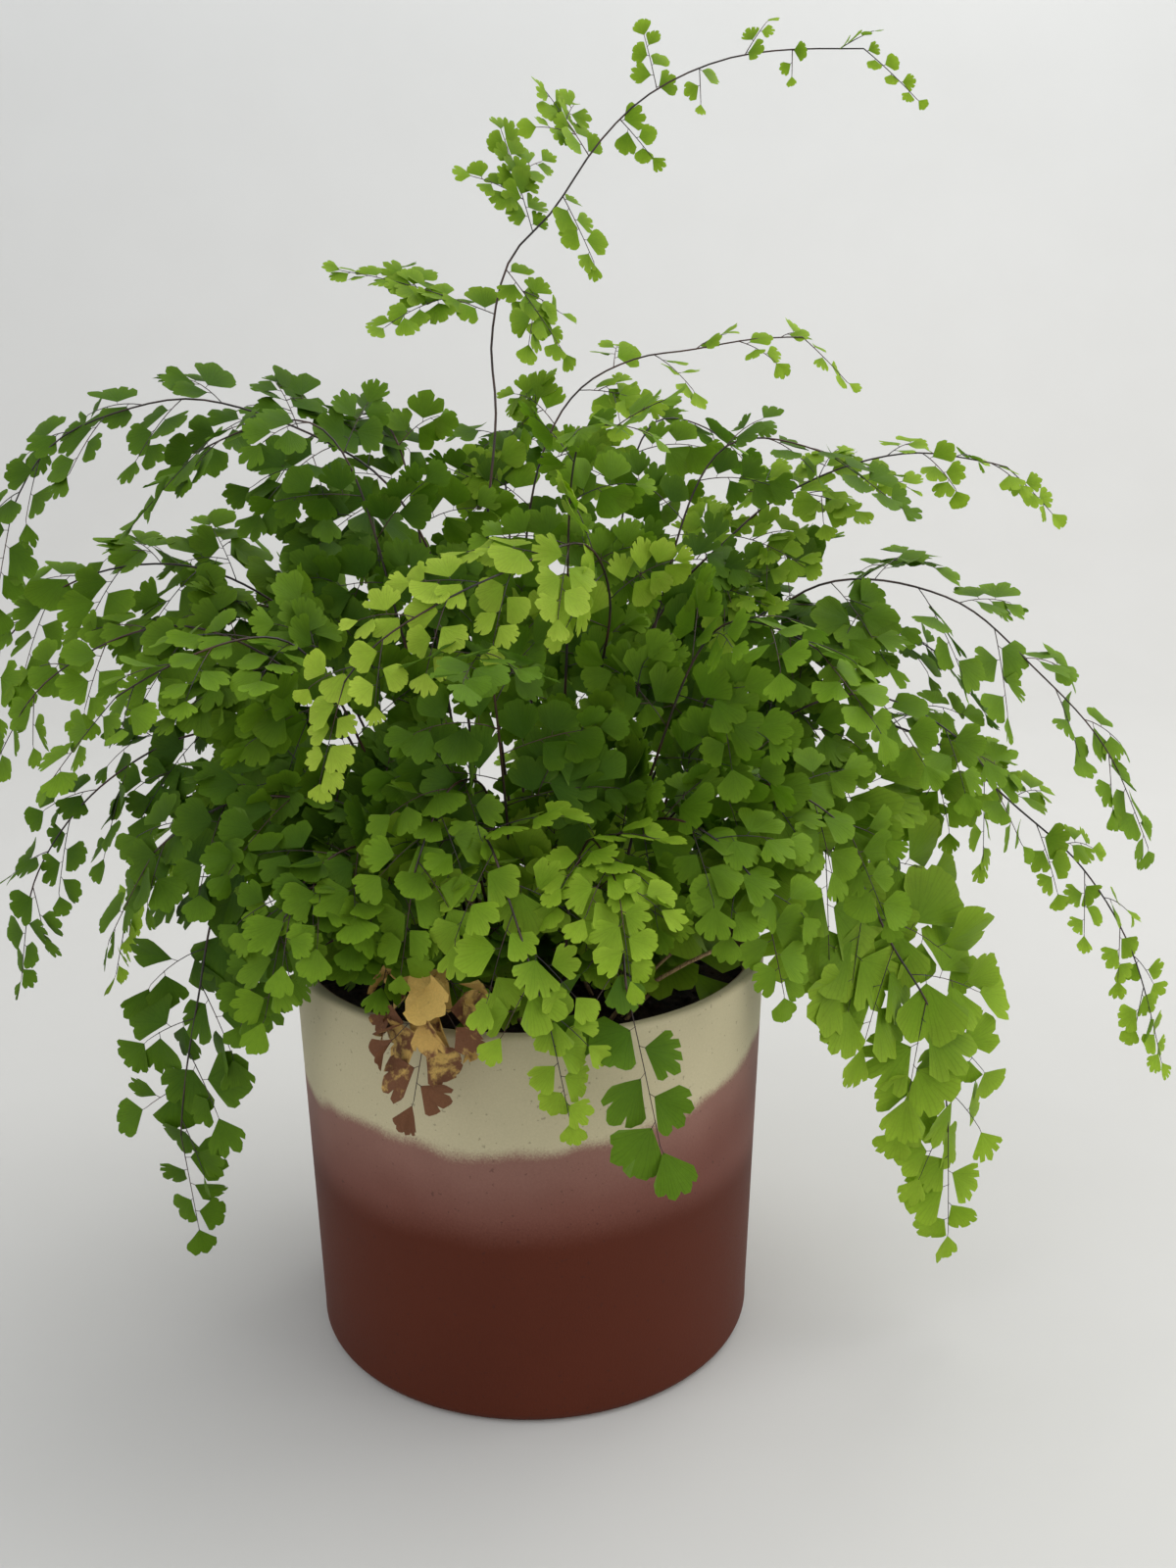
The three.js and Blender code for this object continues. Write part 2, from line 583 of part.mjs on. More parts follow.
// Whether a solid keeps its clearance from everything placed so far, its own stem aside if given.
function isClear(solid, placed, ownStem) {
  const box = solid.boundingBox();
  return placed.every((other) => other.solid === ownStem
    || !near(box, other.box)
    || solid.minGap(other.solid, 2 * LEAF_GAP) >= LEAF_GAP);
}

function place(solid, placed) {
  placed.push({ solid, box: solid.boundingBox() });
}

// A branch's blade with the leaflets that can be there without crossing what is placed already,
// or nothing where its rib would cross another piece.
function bladeOf(frond, stem, index, key, placed) {
  const branch = branchOf(frond, stem, index, key);
  const leaflets = [];
  for (let number = branch.count - 1; number >= 0; number -= KEPT_LEAFLET) {
    leaflets.unshift(leafletOf(frond, branch, number));
  }
  const kept = leaflets.filter(
    (leaflet) => isClear(arched(leafletOutline(leaflet), branch), placed),
  );
  const blade = kept.length ? arched(branchOutline(kept), branch) : null;
  return blade && isClear(blade, placed, stem.solid) ? blade : null;
}

// A whole frond: its stem with the tip spray and, from the tip down, every third side branch.
function frondMesh(frond, stem, key, placed) {
  let solid = stem.solid;
  for (let index = frond.branches; index >= 0; index -= 1) {
    const kept = index === frond.branches || index % KEPT_BRANCH === 1;
    const blade = kept ? bladeOf(frond, stem, index, key, placed) : null;
    if (blade) {
      place(blade, placed);
      solid = solid.add(blade);
    }
  }
  solid = withoutSlivers(solid.simplify(SMALLEST_STEP));
  return { solid, name: frond.name, color: SHADES[frond.shade], roughness: 0.5 };
}

// ---- The whole plant ------------------------------------------------------------------------
const fronds = [...NAMED_FRONDS];
for (let index = 0; index < OTHER_FRONDS; index += 1) {
  fronds.push(otherFrond(index));
}
const stems = fronds.map(stemOf);
const pot = potMesh();
const soil = soilMesh(fronds);
const placed = [];
[pot, soil, ...stems].forEach((piece) => place(piece.solid, placed));
const leafy = fronds.map((frond, key) => frondMesh(frond, stems[key], key, placed));

const fern = new THREE.Group();
for (const piece of [pot, soil, ...leafy]) {
  fern.add(meshOf(piece.solid, piece.name, piece.color, piece.roughness));
}

export default fern;
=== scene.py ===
import math
from dataclasses import dataclass
from functools import partialmethod

import bpy
import numpy as np
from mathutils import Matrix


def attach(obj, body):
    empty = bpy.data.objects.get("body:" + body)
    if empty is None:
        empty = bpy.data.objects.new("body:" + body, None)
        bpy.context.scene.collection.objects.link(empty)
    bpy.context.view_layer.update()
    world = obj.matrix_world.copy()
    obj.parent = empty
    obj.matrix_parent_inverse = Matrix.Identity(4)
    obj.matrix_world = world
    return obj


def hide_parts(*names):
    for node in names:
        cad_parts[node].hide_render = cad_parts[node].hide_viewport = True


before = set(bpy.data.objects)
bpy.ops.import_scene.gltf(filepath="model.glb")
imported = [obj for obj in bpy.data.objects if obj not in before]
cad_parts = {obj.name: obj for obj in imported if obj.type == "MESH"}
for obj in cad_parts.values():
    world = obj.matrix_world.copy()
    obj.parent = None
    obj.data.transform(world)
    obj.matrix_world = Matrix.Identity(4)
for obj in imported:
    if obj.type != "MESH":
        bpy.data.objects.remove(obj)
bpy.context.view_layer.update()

# ---- Camera ----
# A little above the rim and looking down at the pot from the front, with the wide lens that
# makes the front of the rim drop well below its back. Its place comes from the ellipses of the
# rim and of the pot's base. Its angles are in radians.
CAMERA_PLACE = (0, -0.532, 0.3505)
CAMERA_DOWN, CAMERA_RIGHT, CAMERA_ROLL = 0.2722, 0.0417, 0.0064

camera = bpy.data.objects.new("camera", bpy.data.cameras.new("camera"))
bpy.context.scene.collection.objects.link(camera)
camera.location = CAMERA_PLACE
camera.rotation_euler = (math.pi / 2 - CAMERA_DOWN, CAMERA_ROLL, -CAMERA_RIGHT)
camera.data.lens = camera.data.sensor_width = 36.0
camera.data.clip_start, camera.data.clip_end = 0.01, 20.0
bpy.context.scene.camera = camera

# ---- Pot ----
# A slip-cast ceramic planter, slightly wider at its rim. Three matt reactive glazes run into
# each other down its wall: cream, dusty rose and oxblood brown. The inside is bare biscuit.
POT_HEIGHT = 0.144
POT_BASE_RADIUS = 0.080
POT_TOP_RADIUS = 0.084
POT_WALL = 0.005
POT_FLOOR = 0.007
BASE_ROUND = 0.004
RIM_ROUND = 0.0018
INNER_ROUND = 0.003
UNDERSIDE_FROM = 0.020
AROUND = 144


def arc(centre, radius, start, end, steps):
    """Points of a circular arc: centre plus radius times the cosine and sine of the angle."""
    angle = np.radians(np.linspace(start, end, steps))
    return np.array(centre) + radius * np.stack([np.cos(angle), np.sin(angle)], 1)


def stretch(start, end, steps):
    """Points in even steps on a straight line, its far end left out."""
    return np.linspace(start, end, steps, endpoint=False)


def turned(profile, around):
    """A surface of revolution: each [radius, height] of the profile goes round the Z axis.

    Returns the points and the faces; the first and last profile points lie on the axis.
    """
    angle = np.linspace(0, 2 * np.pi, around, endpoint=False)
    ring = profile[1:-1]
    x = ring[:, :1] * np.cos(angle)
    y = ring[:, :1] * np.sin(angle)
    z = np.repeat(ring[:, 1:], around, axis=1)
    points = np.stack([x, y, z], 2).reshape(-1, 3)
    poles = np.array([[0, 0, profile[0][1]], [0, 0, profile[-1][1]]])
    return np.vstack([points, poles]), *round_faces(len(ring), around)


def round_faces(rings, around):
    """Four-sided faces from ring to ring, and the fans that close both ends to their poles.

    The poles are the two points that follow the rings.
    """
    row, column = np.meshgrid(np.arange(rings - 1), np.arange(around), indexing="ij")
    following = (column + 1) % around
    quads = np.stack([row * around + column, row * around + following,
                      (row + 1) * around + following, (row + 1) * around + column], 2)
    pole, last = np.full(around, rings * around), (rings - 1) * around
    bottom = np.stack([pole, following[0], column[0]], 1)
    top = np.stack([pole + 1, last + column[0], last + following[0]], 1)
    return quads.reshape(-1, 4), np.vstack([bottom, top])


def mesh_object(name, material, points, quads, triangles, sharp=None):
    """An object of this material and mesh, smooth but for folds sharper than sharp."""
    mesh = bpy.data.meshes.new(name)
    corners = np.concatenate([quads.ravel(), triangles.ravel()])
    sizes = np.concatenate([np.full(len(quads), 4), np.full(len(triangles), 3)])
    mesh.vertices.add(len(points))
    mesh.vertices.foreach_set("co", points.astype(np.float32).ravel())
    mesh.loops.add(len(corners))
    mesh.loops.foreach_set("vertex_index", corners.astype(np.int32))
    mesh.polygons.add(len(sizes))
    mesh.polygons.foreach_set("loop_start", (np.cumsum(sizes) - sizes).astype(np.int32))
    mesh.update(calc_edges=True)
    mesh.polygons.foreach_set("use_smooth", np.ones(len(sizes), dtype=bool))
    if sharp is not None:
        mesh.set_sharp_from_angle(angle=sharp)
    mesh.materials.append(material)
    piece = bpy.data.objects.new(name, mesh)
    bpy.context.scene.collection.objects.link(piece)
    return piece


class Value:
    """A number that varies over a surface; each sum or product with it adds a Math node."""

    def __init__(self, socket):
        self.socket = socket

    def by(self, operation, other=0.0, first=None):
        """The result of one Math node on this value, or on first and this value."""
        pair = {0: self, 1: other} if first is None else {0: first, 1: self}
        return Value(node("ShaderNodeMath", pair, operation=operation)[0])

    def __rsub__(self, first):
        return self.by("SUBTRACT", first=first)

    __add__ = __radd__ = partialmethod(by, "ADD")
    __mul__ = __rmul__ = partialmethod(by, "MULTIPLY")
    __sub__ = partialmethod(by, "SUBTRACT")
    __pow__ = partialmethod(by, "POWER")


def node(kind, inputs=None, tree=None, **settings):
    """Adds one node to this tree or to that of its first link, and returns its outputs."""
    inputs = {name: getattr(value, "socket", value) for name, value in (inputs or {}).items()}
    links = {name for name in inputs if isinstance(inputs[name], bpy.types.NodeSocket)}
    tree = tree or next(inputs[name].id_data for name in inputs if name in links)
    made = tree.nodes.new(kind)
    for name, value in settings.items():
        setattr(made, name, value)
    for name, value in inputs.items():
        if name in links:
            tree.links.new(value, made.inputs[name])
        else:
            made.inputs[name].default_value = value
    return made.outputs


def blend_of(factor, first, second, kind="MIX"):
    """The colour of one Mix node."""
    return node("ShaderNodeMix", {0: factor, 6: first, 7: second}, data_type="RGBA",
                blend_type=kind)[2]


def ramp_of(factor, low, high):
    """A smooth step that rises from 0 at low to 1 at high."""
    return Value(node("ShaderNodeMapRange", {0: factor, 1: low, 2: high},
                      interpolation_type="SMOOTHSTEP")[0])


def noise_of(place, scale, detail=2.0, roughness=0.5):
    """The value of a Noise texture."""
    return Value(node("ShaderNodeTexNoise", {"Vector": place, "Scale": scale, "Detail": detail,
                                             "Roughness": roughness})["Fac"])


def parts_of(whole, kind="XYZ"):
    """The three coordinates of a place, or the three channels of a colour."""
    parts = node(f"ShaderNodeSeparate{kind}", {0: whole})
    return [Value(parts[index]) for index in range(3)]


def new_material(name):
    """An empty node material, and the place of a point on its object."""
    material = bpy.data.materials.new(name)
    material.use_nodes = True
    material.node_tree.nodes.clear()
    return material, node("ShaderNodeTexCoord", tree=material.node_tree)["Object"]


def surface_of(colour, rough, gloss, relief=None, bump=0.0, depth=0.0):
    """The Principled shader; gloss is its specular level, bump and depth press the relief in."""
    inputs = {"Base Color": colour, "Roughness": rough, "Specular IOR Level": gloss}
    if relief is not None:
        inputs["Normal"] = node("ShaderNodeBump", {"Height": relief, "Strength": bump,
                                                   "Distance": depth})[0]
    return node("ShaderNodeBsdfPrincipled", inputs)[0]


def finished(material, shader):
    """The material, with this shader on its output."""
    node("ShaderNodeOutputMaterial", {0: shader})
    return material


def new_group(name, inputs, outputs):
    """A node group with these kinds of sockets by name; returns its inputs and its output."""
    group = bpy.data.node_groups.new(name, "ShaderNodeTree")
    for sockets, way in ((inputs, "INPUT"), (outputs, "OUTPUT")):
        for label, kind in sockets.items():
            group.interface.new_socket(label, in_out=way, socket_type=f"NodeSocket{kind}")
    return node("NodeGroupInput", tree=group), group.nodes.new("NodeGroupOutput")


def finished_group(result, values):
    """The group of this output node, with these values on its sockets."""
    group = result.id_data
    for label, value in values.items():
        group.links.new(getattr(value, "socket", value), result.inputs[label])
    return group


def mottle_group():
    """Unevenness of a colour: the colour times the sum of darkest and range times noise."""
    given, result = new_group(
        "mottle",
        {"Colour": "Color", "Place": "Vector", "Scale": "Float", "Detail": "Float",
         "Roughness": "Float", "Darkest": "Float", "Range": "Float"},
        {"Colour": "Color", "Grain": "Float"})
    grain = noise_of(given["Place"], given["Scale"], given["Detail"], given["Roughness"])
    tone = grain * given["Range"] + given["Darkest"]
    colour = blend_of(1.0, given["Colour"], tone, "MULTIPLY")
    return finished_group(result, {"Colour": colour, "Grain": grain})


MOTTLE = mottle_group()


def mottled(colour, place, scale, darkest, spread, detail=3.0, roughness=0.5):
    """The mottled colour and the grain that it comes from."""
    made = node("ShaderNodeGroup", {
        "Colour": colour, "Place": place, "Scale": scale, "Detail": detail,
        "Roughness": roughness, "Darkest": darkest, "Range": spread}, node_tree=MOTTLE)
    return made["Colour"], Value(made["Grain"])


GLAZE_CREAM = (0.50, 0.445, 0.285, 1)
GLAZE_ROSE = (0.150, 0.055, 0.040, 1)
GLAZE_ROSE_PALE = (0.235, 0.118, 0.092, 1)
GLAZE_OXBLOOD = (0.082, 0.0165, 0.0065, 1)
GLAZE_SPECK = (0.030, 0.014, 0.012, 1)
BISCUIT = (0.42, 0.27, 0.19, 1)
BISCUIT_DARK = (0.3, 0.17, 0.11, 1)
CREAM_EDGE = 0.1030  # height where the cream ends in front
CREAM_BELOW, CREAM_ABOVE = 0.0032, 0.0024  # how far it thins out below and above that height
CREAM_CLIMB = 2.4  # how fast that height grows to the right, with the square of the distance
ROSE_EDGE = 0.0750
ROSE_BELOW, ROSE_ABOVE = 0.009, 0.006
EDGE_DRIFT = 0.0128  # how far the cream's edge wanders
ROSE_DRIFT = 0.35  # share of that for the rose's edge
EDGE_FRAY = 0.004
GLAZE_GRAIN = 1400.0
GLAZE_GRAIN_ROUGH = 0.6
BARE_INSIDE = (0.0008, 0.0016)  # the glaze begins this far out from the inner wall
BARE_FOOT = (0.0002, 0.0009)  # and this far above the foot


def glaze_material():
    """Three glazes over height, their soft edges lifted by low noise round the wall.

    The cream's edge climbs with the square of the distance to the right.
    """
    material, place = new_material("reactive_glaze")
    x, y, z = parts_of(place)
    climb = CREAM_CLIMB * x.by("MAXIMUM", 0.0) ** 2.0
    drift = EDGE_DRIFT * (noise_of(place, 34.0) - 0.5)
    grain = noise_of(place, GLAZE_GRAIN, 3.0, GLAZE_GRAIN_ROUGH)
    frayed = z + EDGE_FRAY * (grain - 0.5)
    upper, lower = frayed - (climb + drift), frayed - ROSE_DRIFT * drift
    cream = ramp_of(upper, CREAM_EDGE - CREAM_BELOW, CREAM_EDGE + CREAM_ABOVE)
    rose = ramp_of(lower, ROSE_EDGE - ROSE_BELOW, ROSE_EDGE + ROSE_ABOVE)
    pale = ramp_of(upper, ROSE_EDGE, CREAM_EDGE)
    colour = blend_of(pale, GLAZE_ROSE, GLAZE_ROSE_PALE)
    colour = blend_of(rose, GLAZE_OXBLOOD, colour)
    colour = blend_of(cream, colour, GLAZE_CREAM)
    colour, cloud = mottled(colour, place, 22.0, darkest=0.89, spread=0.22)
    colour, _ = mottled(colour, place, GLAZE_GRAIN, darkest=0.90, spread=0.20,
                        roughness=GLAZE_GRAIN_ROUGH)
    specks = ramp_of(noise_of(place, 620.0, 1.0), 0.70, 0.76)
    colour = blend_of(0.35 * specks, colour, GLAZE_SPECK)
    # bare biscuit on the inside of the wall and under the foot
    lean = (POT_TOP_RADIUS - POT_BASE_RADIUS) / POT_HEIGHT
    out = (x ** 2.0 + y ** 2.0).by("SQRT") - lean * z - (POT_BASE_RADIUS - POT_WALL)
    glazed = ramp_of(out, *BARE_INSIDE) * ramp_of(z, *BARE_FOOT)
    bare = blend_of(0.36 + 0.08 * grain, BISCUIT, BISCUIT_DARK)
    colour = blend_of(glazed, bare, colour)
    rough = 0.50 + 0.16 * grain + 0.3 * (1.0 - glazed)
    return finished(material, surface_of(colour, rough, gloss=0.15, bump=0.35, depth=0.0004,
                                         relief=0.35 * grain + 1.4 * cloud))


def pot_profile():
    """The pot's section from the middle of its underside, round the rim, to its floor."""
    lip = POT_TOP_RADIUS - POT_WALL
    rim = POT_HEIGHT - RIM_ROUND
    foot = POT_BASE_RADIUS - POT_WALL
    return np.vstack([
        [[0, 0]],
        stretch((UNDERSIDE_FROM, 0), (POT_BASE_RADIUS - BASE_ROUND, 0), steps=5),
        arc((POT_BASE_RADIUS - BASE_ROUND, BASE_ROUND), BASE_ROUND, -90, 0, steps=9),
        stretch((POT_BASE_RADIUS, 2 * BASE_ROUND), (POT_TOP_RADIUS, rim), steps=24),
        arc((POT_TOP_RADIUS - RIM_ROUND, rim), RIM_ROUND, 0, 90, steps=7),
        arc((lip + RIM_ROUND, rim), RIM_ROUND, 90, 180, steps=7),
        stretch((lip, rim - INNER_ROUND), (foot + 0.0001, POT_FLOOR + INNER_ROUND), steps=12),
        arc((foot - INNER_ROUND, POT_FLOOR + INNER_ROUND), INNER_ROUND, 0, -90, steps=5),
        [[0, POT_FLOOR]],
    ])


pot = mesh_object("glazed_pot", glaze_material(), *turned(pot_profile(), AROUND))
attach(pot, "root")
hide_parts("pot")

# ---- Soil ----
# Dark, damp potting mix of peat and bark, packed to just below the rim and slightly heaped in
# the middle. Crumbs, bark chips and a few dry bits lie loose on it.
SOIL_CROWN = 0.134
SOIL_FALL = 0.006
FIT_GAP = 0.0003
SOIL_RINGS = 60
LUMP_WAVES = [(420, 130, 0, 1), (-210, 510, 1.3, 1), (980, 760, 0.4, 0.7),
              (-1300, 1500, 0, 0.5)]  # turns along X and along Y, phase, height
LUMP_SIZE = 0.000384
LUMP_DROP = 1.5
CRUMBS = 900
CRUMB_LEAST, CRUMB_MORE = 0.0006, 0.0018
CRUMB_FLAT = 0.6
CRUMB_RISE = 0.2
CRUMB_RADIUS = 0.0745
PEAT = (0.012, 0.008, 0.006, 1)
PEAT_PALE = (0.050, 0.030, 0.019, 1)
BARK_FIBRE = (0.13, 0.075, 0.040, 1)
NO_QUADS = np.zeros((0, 4), dtype=int)


def soil_height(radius):
    """Height of the soil: a dome that falls with the square of the distance from the middle."""
    return SOIL_CROWN - SOIL_FALL * (radius / POT_BASE_RADIUS) ** 2


def inner_radius(height):
    """Radius of the pot's inside, straight from floor to rim."""
    rise = (height - POT_FLOOR) / (POT_HEIGHT - POT_FLOOR)
    return POT_BASE_RADIUS - POT_WALL + (POT_TOP_RADIUS - POT_BASE_RADIUS) * rise


def lumps(x, y):
    """Low unevenness: a sum of sine waves of unlike lengths and directions, a little lowered."""
    total = sum(height * np.sin(x * along_x + y * along_y + phase)
                for along_x, along_y, phase, height in LUMP_WAVES)
    return LUMP_SIZE * (total - LUMP_DROP)


def soil_body():
    """The filling: flat underneath, up the wall, and a lumpy dome on top."""
    edge = inner_radius(SOIL_CROWN - SOIL_FALL) - FIT_GAP
    radii = np.linspace(edge, 0.001, SOIL_RINGS)
    profile = np.vstack([
        [[0, POT_FLOOR + FIT_GAP]],
        [[inner_radius(POT_FLOOR) - INNER_ROUND, POT_FLOOR + FIT_GAP]],
        [[inner_radius(POT_FLOOR) - FIT_GAP, POT_FLOOR + INNER_ROUND + 0.0005]],
        np.stack([radii, soil_height(radii)], 1),
        [[0, SOIL_CROWN]],
    ])
    points, quads, triangles = turned(profile, AROUND)
    x, y, z = points.T
    loose = (z > POT_HEIGHT / 2) & (np.hypot(x, y) < edge * 0.995)
    points[:, 2] += np.where(loose, lumps(x, y), 0)
    return points, quads, triangles


def repeated(points, quads, triangles):
    """One mesh of many alike: the same faces on every row of points."""
    base = points.shape[1] * np.arange(len(points))[:, None, None]
    return (points.reshape(-1, 3), (quads + base).reshape(-1, 4),
            (triangles + base).reshape(-1, 3))


def joined(parts):
    """Several meshes' points and faces as one."""
    starts = np.cumsum([0] + [len(points) for points, _, _ in parts])
    moved = [(points, quads + start, triangles + start)
             for (points, quads, triangles), start in zip(parts, starts)]
    return [np.vstack(kind) for kind in zip(*moved)]


def crumbs(count):
    """Small uneven grains: corners of an octahedron, stretched and turned at random."""
    pick = np.random.default_rng(11)
    corners = np.array([[1, 0, 0], [-1, 0, 0], [0, 1, 0], [0, -1, 0], [0, 0, 1], [0, 0, -1.0]])
    faces = np.array([[0, 2, 4], [2, 1, 4], [1, 3, 4], [3, 0, 4],
                      [2, 0, 5], [1, 2, 5], [3, 1, 5], [0, 3, 5]])
    size = CRUMB_LEAST + CRUMB_MORE * pick.random((count, 1, 1)) ** 3
    shape = corners * size * (0.55 + 0.9 * pick.random((count, 6, 3)))
    turn = pick.random(count) * 2 * np.pi
    cos, sin = np.cos(turn)[:, None], np.sin(turn)[:, None]
    radius = CRUMB_RADIUS * np.sqrt(pick.random(count))
    angle = pick.random(count) * 2 * np.pi
    x, y = radius * np.cos(angle), radius * np.sin(angle)
    foot = soil_height(radius) + lumps(x, y)
    points = np.stack([
        shape[:, :, 0] * cos - shape[:, :, 1] * sin + x[:, None],
        shape[:, :, 0] * sin + shape[:, :, 1] * cos + y[:, None],
        shape[:, :, 2] * CRUMB_FLAT + foot[:, None] + size[:, :, 0] * CRUMB_RISE], 2)
    return repeated(points, NO_QUADS, faces)


def soil_material():
    """Dark peat with paler fibres and bark by noise of three sizes, and a rough surface."""
    material, place = new_material("potting_mix")
    coarse = noise_of(place, 160.0, 4.0, 0.6)
    fine = noise_of(place, 900.0, 4.0, 0.7)
    chips = Value(node("ShaderNodeTexVoronoi", {"Vector": place, "Scale": 330.0})["Distance"])
    colour = blend_of(ramp_of(coarse, 0.35, 0.7), PEAT, PEAT_PALE)
    colour = blend_of(0.55 * ramp_of(fine, 0.60, 0.72), colour, BARK_FIBRE)
    relief = 0.8 * chips + fine
    return finished(material, surface_of(colour, 0.92, gloss=0.25, relief=relief, bump=0.9,
                                         depth=0.0010))


soil = mesh_object("potting_soil", soil_material(), *joined([soil_body(), crumbs(CRUMBS)]))
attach(soil, "root")
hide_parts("soil")

# ---- Fronds: where they stand and how they run ----
# Each frond is one black, wire-thin stem that grows out of the soil and arches over. Those that
# can be told apart in the photo are listed one by one, from the back round to the front; the
# others fill the plant in three tiers round the pot.
MM = 0.001


@dataclass
class Frond:
    """A frond's stem, in millimetres, and the rule for its branches and leaflets."""

    name: str
    shade: str
    leaf: float  # length of the largest leaflet
    reach: float  # length of the longest branch
    face: tuple  # the side that the frond's plane turns to
    root: tuple  # place in the soil
    points: list  # the stem's route from there
    tip: float = 0.8  # size of the last leaflets against the first
    size: float = 1  # of all its leaflets
    pitch: float = 0.42  # step from leaflet to leaflet, in leaflets
    first: float = 0.2  # share of a branch before its first leaflet
    shrink: float = 0.22  # how much leaflets shrink outwards on a branch
    branches: int = 9
    bare: float = 0.36  # share of the stem without branches
    low: int = 3  # number of small branches round the lower stem
    taper: float = 0.9  # how fast branches shorten towards the tip
    sag: float = 1  # how far branches sag
    droop: float = 0  # how much wider those to the right stand off
    row: float = 2.4  # length, in leaflets, of the row that ends the stem
    lift: float = 0  # how far leaflets turn up out of the frond's plane


